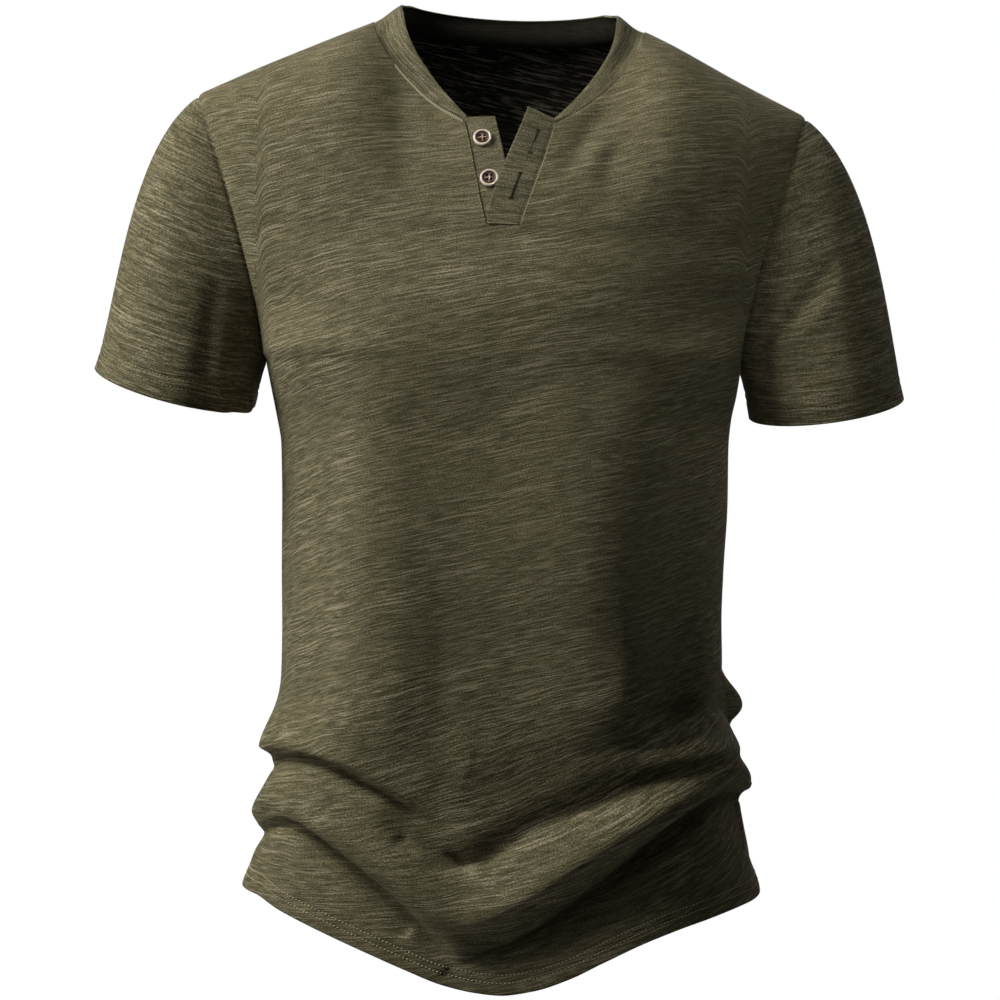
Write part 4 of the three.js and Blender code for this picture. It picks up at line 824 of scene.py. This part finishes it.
def sleeve(side):
    """Curves from the armhole to the cuff, with folds, seam and the rows of the cuff."""
    cuff = CUFFS[side]
    sx = -1 if side == "left" else 1
    ring, top = armhole_ring(side)
    n = len(ring)
    centre = np.array(cuff["centre"], float)
    e1 = unit(np.array(cuff["across"], float))
    down = unit(np.array([e1[2] * np.sign(e1[0]), 0, -abs(e1[0])]))
    lean = math.radians(cuff["lean"])
    e2 = unit(np.array([0, -math.cos(lean), 0]) + down * math.sin(lean))
    exit_ = np.cross(e1, e2)
    if exit_ @ down < 0:
        exit_ = -exit_
    exit_ = unit(exit_ + np.array([sx * 0.12, 0, 0]))
    length = run_length(np.concatenate([ring, ring[:1]]))
    k = np.arange(n)
    around = np.where(k <= top, 0.5 * length[k] / length[top],
                      0.5 + 0.5 * (length[k] - length[top]) / (length[n] - length[top]))
    a = around * 2 * math.pi
    p1 = centre + e1 * (cuff["half"] * np.cos(a))[:, None] + e2 * (cuff["depth"] * np.sin(a))[:, None]
    rise = np.clip((ring[:, 2] - UNDERARM_Z) / (TIP_Z - UNDERARM_Z), 0, 1)
    fall = mix(-0.86, -0.56, smooth(0.2, 1, rise))
    t0 = unit(np.stack([sx * mix(0.5, 0.83, rise), -0.2 * rise * np.sin(a), fall], 1))
    reach = np.linalg.norm(p1 - ring, axis=1)[:, None]
    s = np.concatenate([[0, 0.006, 0.013, 0.022, 0.034], np.linspace(0.05, 1, 84 // STEP)])[:, None, None]
    grid = cubic(s, ring, p1, t0 * reach * 0.9, exit_ * reach * 0.66)
    grid = np.concatenate([grid, grid[:, :1]], axis=1)
    sign = 1 if side == "left" else -1
    nrm = normals_of(grid, sign, None, True)
    sh = np.concatenate([around, [1.0]])[None] + 0 * s[:, 0]
    sv = s[:, 0] + 0 * sh
    lift = sum(fold_field(SLEEVE_FOLDS[side], (sh + whole) * SLEEVE_ROUND, sv * SLEEVE_LONG,
                          SLEEVE_ROUND, SLEEVE_LONG)[0] for whole in (0, 1, -1))
    grid = grid + nrm * (lift * smooth(0.03, 0.3, sv))[..., None]
    d = run_length(grid)
    nrm = normals_of(grid, sign, None, True)
    grid = grid - nrm * (1.5 * np.exp(-(d / 2.2) ** 2) * (d > 0.01))[..., None]
    left = d[-1:] - d
    nrm = normals_of(grid, sign, None, True)
    grid = grid - nrm * (0.5 * grooves(left, CUFF_ROWS, 1.3))[..., None]
    return grid, sh * SLEEVE_ROUND, left, sign, normals_of(grid, sign, None, True)


sleeves = {}
for side in ("left", "right"):
    grid, u, v, sign, nrm = sleeve(side)
    ob = cloth_shell("sleeve_" + side + "_cloth", grid, grid - nrm * SLEEVE_WALL, u + SLEEVE_U[side], v, sign,
                     [sleeve_mat, inside_painted_shade_mat], tube=True)
    dress(ob, "sleeve_" + side)
    sleeves[side] = {"grid": grid, "normals": nrm, "object": ob}


# Neckband
def neck_ring(what):
    """Grid points or normals along the neck seam, from the placket round the back to the placket."""
    front, back = (panels[face][what][-1] for face in ("front", "back"))
    left = (COL > SHOULDER_COLS) & (COL <= SIDE_COLS + 1e-6)
    right = (COL >= SIDE_COLS + NOTCH_COLS - 1e-6) & (COL < COLS - SHOULDER_COLS)
    behind = (COL >= SHOULDER_COLS) & (COL <= COLS - SHOULDER_COLS)
    return np.concatenate([front[left][::-1], back[behind], front[right][::-1]])


ring = neck_ring("grid")
leave = unit(np.cross(neck_ring("normals"), np.gradient(ring, axis=0)))
inwards = np.stack([-ring[:, 0], -ring[:, 1], np.full(len(ring), 60.0)], 1)
leave *= np.sign((leave * inwards).sum(1))[:, None]
SMOOTH_OVER = 7
padded = np.pad(leave, ((SMOOTH_OVER // 2,) * 2, (0, 0)), mode="edge")
share = np.ones(SMOOTH_OVER) / SMOOTH_OVER
leave = unit(np.stack([np.convolve(c, share, mode="valid") for c in padded.T], 1))
seg = run_length(ring)
turn = seg / seg[-1]
lean = unit(np.stack([look(BAND, k, turn) for k in (2, 3, 4)], 1))
width = look(BAND, 1, turn)
s = np.array([0, 0.04, 0.09, 0.16, 0.26, 0.38, 0.5, 0.62, 0.74, 0.84, 0.92, 0.97, 1.0])[:, None, None]
dirs = unit(leave[None] + (lean - leave)[None] * smooth(-0.1, 0.9, s))
band = ring[None] + leave[None] * 0.15 + dirs * s * width[None, :, None]
nrm = normals_of(band, -1)
puff = 0.8 * np.sin(np.clip(s[..., 0], 0, 1) * math.pi) ** 0.6
band = band + nrm * puff[..., None]
nrm = normals_of(band, -1)
u = np.broadcast_to(seg[None], band.shape[:2])
v = np.broadcast_to(s[..., 0] * width[None], band.shape[:2])
inner = band - nrm * BAND_WALL
band_ob = cloth_shell("neckband_cloth", band, inner, u + BAND_U, v, -1, [trim_mat, band_inside_painted_shade_mat])
dress(band_ob, "neckband")


# Placket strips: sewn in flush with the panel, the overlap rising to its free edge
FLUSH = -0.05


def under_rise(uu, vv):
    return FLUSH + 0 * uu * vv


def over_rise(uu, vv):
    return (1 - uu) * (1.5 + 4.2 * smooth(0.2, 1, vv)) + FLUSH


def on_strip(table, uu, vv):
    """Place on a placket strip, uu across it and vv up it."""
    t = np.array([[k / (len(table) - 1), *row] for k, row in enumerate(table)], float)
    lx, lz, rx, rz = (look(t, k, vv) for k in (1, 2, 3, 4))
    return mix(lx, rx, uu), mix(lz, rz, uu)


def strip(name, table, rise, sewn, start, slant):
    """Placket strip, a little wider at the edge of its sewn side (-1 left, 1 right)."""
    vv = np.concatenate([[0, 0.006, 0.014, 0.025], np.linspace(0.04, 0.97, 70 // STEP), [0.985, 0.994, 1.0]])
    uu = np.concatenate([[0, 0.02, 0.045, 0.08], np.linspace(0.12, 0.88, 20 // STEP),
                         [0.92, 0.955, 0.98, 1.0]])
    vv, uu = vv[:, None], uu[None]
    x, z = on_strip(table, uu, vv)
    x = x + 0.7 * sewn * (uu if sewn > 0 else 1 - uu) ** 12
    eu = np.minimum(uu, 1 - uu) * 22
    ev = np.minimum(vv, 1 - vv) * 82
    rnd = 0.35 * np.exp(-(np.minimum(eu, ev) / 0.5) ** 2)
    stitch = 0.22 * np.exp(-((eu - 2.0) / 0.7) ** 2) * (ev > 1.5)
    high = rise(uu, vv)
    grid = upper_point(x, z, "front", high - rnd - stitch)
    inner = upper_point(x, z, "front", high - PLACKET_WALL + 0.3 * rnd)
    ob = cloth_shell(name + "_cloth", grid, inner, x + start, z + slant * x, 1, [trim_mat, trim_mat])
    dress(ob, name)
    return ob


under_ob = strip("placket_underlap", UNDERLAP, under_rise, -1, UNDERLAP_U, -0.3)
over_ob = strip("placket_overlap", OVERLAP, over_rise, 1, OVERLAP_U, 0.12)


# Along a stitch: share of its length, height and thickness over its radius
STITCH = np.array([(0, -1.4, 0.5), (0.15, 0.1, 0.95), (0.5, 0.5, 1.0), (0.85, 0.1, 0.95), (1, -1.4, 0.5)])
STITCH_SIDES = 5
# Pitch, length, radius and height over the cloth of the thread in the hem and cuffs
HEM_THREAD = (2.9, 1.9, 0.33, -0.3)


def along_line(at, length, points):
    return np.stack([np.interp(at, length, points[:, k]) for k in range(3)], -1)


def ring_faces(first, rings, sides):
    """Faces between rings of points, numbered on from the first."""
    starts = range(first, first + (rings - 1) * sides, sides)
    pairs = [(start + q, start + (q + 1) % sides) for start in starts for q in range(sides)]
    return [(a, b, b + sides, a + sides) for a, b in pairs]


# Stitches
def stitch_mesh(name, runs, mat, pitch, length, radius, rise):
    """Rows of raised thread. runs is a list of (points, normals) lines on the cloth."""
    verts, faces = [], []
    ang = np.linspace(0, 2 * math.pi, STITCH_SIDES, endpoint=False)
    for pts, nrm in runs:
        d = run_length(pts)
        for i in range(int(d[-1] // pitch)):
            stations = i * pitch + (pitch - length) / 2 + length * STITCH[:, 0]
            c = along_line(stations, d, pts)
            nn = unit(along_line(stations, d, nrm))
            bi = unit(np.cross(nn, unit(np.gradient(c, axis=0))))
            c = c + nn * (rise + radius * STITCH[:, 1:2])
            base = len(verts) * STITCH_SIDES
            for at, out, up, thick in zip(c, bi, nn, radius * STITCH[:, 2]):
                verts.append(at + thick * (np.cos(ang)[:, None] * out + np.sin(ang)[:, None] * up))
            faces += ring_faces(base, len(STITCH), STITCH_SIDES)
            end = base + 4 * STITCH_SIDES
            faces += [(base, base + 4, base + 3, base + 1), (end, end + 1, end + 3, end + 4)]
    return mesh_object(name, np.concatenate(verts), np.array(faces), [mat])


def run_on_hem(face, lift):
    sh = np.linspace(-0.995, 0.995, 500)
    turn = sh if face == "front" else np.where(sh < 0, -2 - sh, 2 - sh)
    z = look(HEM, 1, turn) + lift
    p = lower_point(turn, z)
    n = unit(np.cross(np.gradient(p, axis=0), lower_point(turn, z + 1.0) - p))
    return p, np.where((n[:, :2] * p[:, :2]).sum(1, keepdims=True) < 0, -n, n)


def run_on_grid(grid, normals, distance):
    """Line across the columns of a grid at a distance from its last row."""
    d = run_length(grid[::-1])
    columns = range(grid.shape[1])
    line, out = (np.array([along_line(distance, d[:, c], field[::-1][:, c]) for c in columns])
                 for field in (grid, normals))
    return line, unit(out)


for face in ("front", "back"):
    runs = [run_on_hem(face, d) for d in HEM_ROWS]
    dress(stitch_mesh("hem_stitches_" + face, runs, thread_mat, *HEM_THREAD))
for side in ("left", "right"):
    runs = [run_on_grid(sleeves[side]["grid"], sleeves[side]["normals"], d) for d in CUFF_ROWS]
    dress(stitch_mesh("cuff_stitches_" + side, runs, thread_mat, *HEM_THREAD))


def strip_line(table, rise, u0, v0, u1, v1, lift, n=120):
    """Line of n points on a placket strip and its normals, lifted off the strip."""
    uu, vv = np.linspace(u0, u1, n), np.linspace(v0, v1, n)
    x, z = on_strip(table, uu, vv)
    high = rise(np.clip(uu, 0, 1), vv) + lift
    a = upper_point(x, z, "front", high)
    return a, unit(upper_point(x, z, "front", high + 1.0) - a)


# Rows on the placket: name, strip, thread, its sizes as above, lines of (u, v) to (u, v) and height
OVER, UNDER = (OVERLAP, over_rise), (UNDERLAP, under_rise)
PLACKET_ROWS = [
    ("placket_cord", OVER, thread_mat, (1.9, 1.6, 0.3, 0.0), [(1.035, 0.0, 1.035, 0.985, 0.12)]),
    ("placket_overlap_stitches", OVER, thread_dark, (2.3, 1.7, 0.24, 0.0),
     [(0.93, 0.06, 0.93, 0.97, -0.1), (0.05, 0.35, 0.95, 0.35, -0.1)]),
    ("placket_foot_stitches", OVER, thread_mat, (1.8, 1.3, 0.26, 0.0),
     [(0.0, 0.02, 1.0, 0.02, 0.05), (0.08, 0.3, 0.9, 0.3, -0.1)]),
    ("placket_underlap_stitches", UNDER, thread_dark, (2.3, 1.5, 0.26, 0.0),
     [(-0.02, 0.02, -0.02, 0.97, 0.0)]),
    ("placket_underlap_edge", UNDER, thread_mat, (3.1, 1.3, 0.24, 0.0), [(-0.07, 0.02, -0.07, 0.97, 0.0)]),
]
for name, on, thread, sizes, lines in PLACKET_ROWS:
    dress(stitch_mesh(name, [strip_line(*on, *line) for line in lines], thread, *sizes))


def strokes(name, runs, mat, half=0.2, high=0.16):
    """Short flat-bottomed bars of thread between two points."""
    verts, faces = [], []
    for pts, nn in runs:
        bi = unit(np.cross(nn[0], unit(pts[-1] - pts[0])))
        base = len(verts)
        for c in (pts[0], pts[-1]):
            for out, up in ((-half, -0.2), (-half * 0.6, high), (half * 0.6, high), (half, -0.2)):
                verts.append(c + bi * out + nn[0] * up)
        faces += [(base + q, base + q + 1, base + 5 + q, base + 4 + q) for q in range(3)]
        faces += [(base, base + 3, base + 2, base + 1), (base + 4, base + 5, base + 6, base + 7)]
    return mesh_object(name, np.array(verts), np.array(faces), [mat])


# Buttonholes: a slit between two close rows of thread, with bars at the ends, and a dark bar of painted
# shadow along the slit: u, lower and upper v
BUTTONHOLES = [(0.53, 0.468, 0.61), (0.58, 0.744, 0.887)]
# Steps up a row, and how much of the upper one's right row is in pale thread
HOLE_STEPS, PALE_SHARE = 26, 0.45
dark_runs, pale_runs, slits = [], [], []
for hole, (u0, v0, v1) in enumerate(BUTTONHOLES):
    for k in range(HOLE_STEPS):
        vv = mix(v0, v1, k / (HOLE_STEPS - 1))
        for sgn in (-1, 1):
            pale = hole == 1 and k < HOLE_STEPS * PALE_SHARE and sgn > 0
            run = strip_line(*OVER, u0 + sgn * 0.008, vv, u0 + sgn * 0.036, vv, 0.1, n=3)
            (pale_runs if pale else dark_runs).append(run)
    for end in (v0, v1):
        for vv in (end + (k - 1.5) * 0.004 for k in range(4)):
            dark_runs.append(strip_line(*OVER, u0 - 0.06, vv, u0 + 0.06, vv, 0.14, n=3))
    slits.append(strip_line(*OVER, u0, v0, u0, v1, 0.16, n=3))
dress(strokes("buttonholes", dark_runs, thread_dark))
dress(strokes("buttonhole_pale", pale_runs, thread_mat))
# Painted shadow of each slit's opening, as a dark bar
dress(strokes("buttonhole_slit_shadows", slits, slit_shadow_mat, 0.32, 0.1))

# Cover stitch beside the left front neck seam: its two rows, pitch, slant and height over the cloth
COVER_ROWS, COVER_PITCH, COVER_SLANT, COVER_LIFT = (2.2, 5.2), 2.0, 1.1, 0.4
near = (COL > SHOULDER_COLS + 2.6) & (COL <= SIDE_COLS - 0.1)
grid, nrm = (panels["front"][what][:, near] for what in ("grid", "normals"))
(upper, out), (lower, _) = (run_on_grid(grid, nrm, d) for d in COVER_ROWS)
along = run_length(upper)
runs = []
for k in range(int(along[-1] / COVER_PITCH)):
    at = k * COVER_PITCH
    ends = np.array([along_line(at, along, upper), along_line(at + COVER_SLANT, along, lower)])
    nn = along_line(at, along, out)
    runs.append((ends + nn * COVER_LIFT, np.array([nn, nn])))
dress(strokes("neck_cover_stitch", runs, thread_mat, 0.3, 0.3))

# Buttons: radius and height from the middle of the top round to the middle of the underside
BUTTON = [
    (0.0, 1.7), (2.6, 1.72), (3.6, 1.8), (4.3, 1.95), (4.75, 2.35), (5.15, 2.6), (5.55, 2.62), (5.95, 2.4),
    (6.25, 1.95), (6.35, 1.3), (6.25, 0.7), (5.9, 0.32), (5.2, 0.08), (4.0, 0.0), (0.0, 0.0),
]
BUTTON_SCALE, BUTTON_SIDES = 1.06, 56
# First and last band of faces on the pale rim
RIM_FIRST, RIM_LAST = 3, 8
HOLE_RADIUS, HOLE_OUT, HOLE_SIDES = 0.85, 1.5, 20
# The cross of thread: its turn, half length, rings along it and sides round it
CROSS_TURN, CROSS_HALF, CROSS_RINGS, CROSS_SIDES = 0.12, 2.9, 9, 8


def button_disc(name):
    n = BUTTON_SIDES
    turns = [2 * math.pi * k / n for k in range(n)]
    verts = [(0, 0, BUTTON[0][1])]
    for r, h in BUTTON[1:-1]:
        verts += [(BUTTON_SCALE * r * math.cos(a), BUTTON_SCALE * r * math.sin(a), h) for a in turns]
    last = len(verts)
    verts.append((0, 0, BUTTON[-1][1]))
    top = [(0, 1 + k, 1 + (k + 1) % n) for k in range(n)]
    sides = [(a, d, c, b) for a, b, c, d in ring_faces(1, len(BUTTON) - 2, n)]
    under = [(last, last - n + (k + 1) % n, last - n + k) for k in range(n)]
    me = bpy.data.meshes.new(name)
    me.from_pydata([Vector(v) * MM for v in verts], [], top + sides + under)
    me.materials.append(brown)
    me.materials.append(rim_mat)
    rim = [int(RIM_FIRST <= k // n <= RIM_LAST) for k in range(len(sides))]
    me.polygons.foreach_set("material_index", [0] * n + rim + [0] * n)
    me.polygons.foreach_set("use_smooth", [True] * len(me.polygons))
    ob = bpy.data.objects.new(name, me)
    bpy.context.scene.collection.objects.link(ob)
    return ob


def cut_holes(ob):
    cutters = []
    for x, y in ((1, 1), (-1, 1), (-1, -1), (1, -1)):
        bpy.ops.mesh.primitive_cylinder_add(vertices=HOLE_SIDES, radius=HOLE_RADIUS * MM, depth=8 * MM,
                                            location=(x * HOLE_OUT * MM, y * HOLE_OUT * MM, 0))
        cutters.append(bpy.context.object)
    for c in cutters:
        mod = ob.modifiers.new("hole", "BOOLEAN")
        mod.operation = "DIFFERENCE"
        mod.solver = "EXACT"
        mod.object = c
    new = bpy.data.meshes.new_from_object(ob.evaluated_get(bpy.context.evaluated_depsgraph_get()))
    ob.modifiers.clear()
    ob.data = new
    for c in cutters:
        bpy.data.objects.remove(c)


def thread_cross(name):
    """Pale cross of thread between the button's holes."""
    verts, faces = [], []
    st = np.linspace(0, 1, CROSS_RINGS)
    for turned in (CROSS_TURN, CROSS_TURN + math.pi / 2):
        end = np.array([math.cos(turned), math.sin(turned), 0]) * CROSS_HALF
        cen = mix(-end, end, st[:, None])
        cen[:, 2] = 1.5 + 0.5 * np.sin(st * math.pi) ** 0.5
        tg = unit(np.gradient(cen, axis=0))
        side = unit(np.cross(tg, np.array([0, 0, 1.0])))
        faces += ring_faces(len(verts), CROSS_RINGS, CROSS_SIDES)
        for at, out, up, s in zip(cen, side, np.cross(side, tg), st):
            for a in (2 * math.pi * q / CROSS_SIDES for q in range(CROSS_SIDES)):
                thick = mix(0.22, 0.5, math.sin(s * math.pi))
                verts.append(at + thick * (math.cos(a) * out + math.sin(a) * up))
    return mesh_object(name, np.array(verts), np.array(faces), [thread_pale])


def button_place(bx, bz):
    """Matrix from a button's own frame to its place on the front."""
    def on_front(dx, dz, lift=0.0):
        return upper_point(bx + dx, bz + dz, "front", lift)

    across = unit(on_front(4.0, 0) - on_front(-4.0, 0))
    out = unit(np.cross(across, on_front(0, 4.0) - on_front(0, -4.0)))
    turned = Matrix((across, np.cross(out, across), out)).transposed().to_4x4()
    return Matrix.Translation(Vector(on_front(0, 0, 0.1)) * MM) @ turned


for which, bx, bz in BUTTONS:
    name = "button_" + which + "_look"
    disc = button_disc(name)
    cut_holes(disc)
    cross = thread_cross(name + "_thread")
    for ob in (disc, cross):
        ob.data.transform(button_place(bx, bz))
    dress(disc, "button_" + which)
    dress(cross)

for side in ("left", "right"):
    ob = sleeves[side]["object"]

# Studio, in metres
WHITE = (1, 1, 1, 1)
MIDDLE_OF_SHIRT = (0, 0, -0.35)
# name, place, what it is aimed at, width and height, watts
LIGHTS = [
    ("key", (-1.52, -0.66, 1.17), (0, 0, -0.3), (0.8, 0.8), 45),
    ("side", (-1.9, -0.5, -0.1), MIDDLE_OF_SHIRT, (0.7, 0.9), 10.5),
    ("top_front", (0, -1.5, 1.6), (0, 0, -0.3), (1.0, 0.8), 2.4),
    ("top_right", (0.95, -1.1, 1.5), (0, 0, -0.3), (0.8, 0.8), 1.2),
    ("back", (0.4, 2.7, 1.0), MIDDLE_OF_SHIRT, (1.4, 1.2), 26),
    ("back_right", (1.9, 1.3, 0.5), MIDDLE_OF_SHIRT, (0.6, 1.0), 5),
    ("chest", (0.5, -1.7, 1.3), (0.1, -0.1, -0.13), (0.35, 0.35), 0.075),
]
# The chest light is a narrow spot
CHEST_SPREAD = math.radians(6)

scene = bpy.context.scene
scene.world = bpy.data.worlds.new("studio")
scene.world.use_nodes = True
sky = scene.world.node_tree.nodes["Background"]
sky.inputs[0].default_value = WHITE
sky.inputs[1].default_value = 0.012


def wall(name, size, place, turned, mat):
    bpy.ops.mesh.primitive_plane_add(size=1, location=place, rotation=turned)
    ob = bpy.context.object
    ob.name = name
    ob.scale = (*size, 1)
    ob.data.materials.append(mat)


def glowing(name):
    mat = bpy.data.materials.new(name)
    mat.use_nodes = True
    nt = mat.node_tree
    nt.nodes.clear()
    light = nt.nodes.new("ShaderNodeEmission")
    light.inputs[0].default_value = WHITE
    light.inputs[1].default_value = 1.0
    nt.links.new(light.outputs[0], nt.nodes.new("ShaderNodeOutputMaterial").inputs[0])
    return mat


wall("backdrop", (4.6, 4.6), (0, 8.0, -0.35), (math.pi / 2, 0, 0), glowing("backdrop"))
wall("floor", (3, 3), (0, 0.5, -1.75), (0, 0, 0), plain("floor", (0.75, 0.75, 0.75, 1), 0.8, 0.2))
for name, place, aim, size, power in LIGHTS:
    lamp = bpy.data.lights.new(name, "AREA")
    lamp.shape = "RECTANGLE"
    lamp.size, lamp.size_y = size
    lamp.energy = power
    if name == "chest":
        lamp.spread = CHEST_SPREAD
    ob = bpy.data.objects.new(name, lamp)
    scene.collection.objects.link(ob)
    ob.location = place
    ob.rotation_euler = (Vector(aim) - Vector(place)).to_track_quat("-Z", "Y").to_euler()

cam = bpy.data.cameras.new("camera")
cam.lens = 116.8
cam.sensor_width = 36
camera = bpy.data.objects.new("camera", cam)
scene.collection.objects.link(camera)
camera.location = (-0.0015, -2.4, -0.35)
camera.rotation_euler = (math.pi / 2, 0, 0)
scene.camera = camera
scene.view_settings.view_transform = "Standard"
scene.view_settings.look = "None"
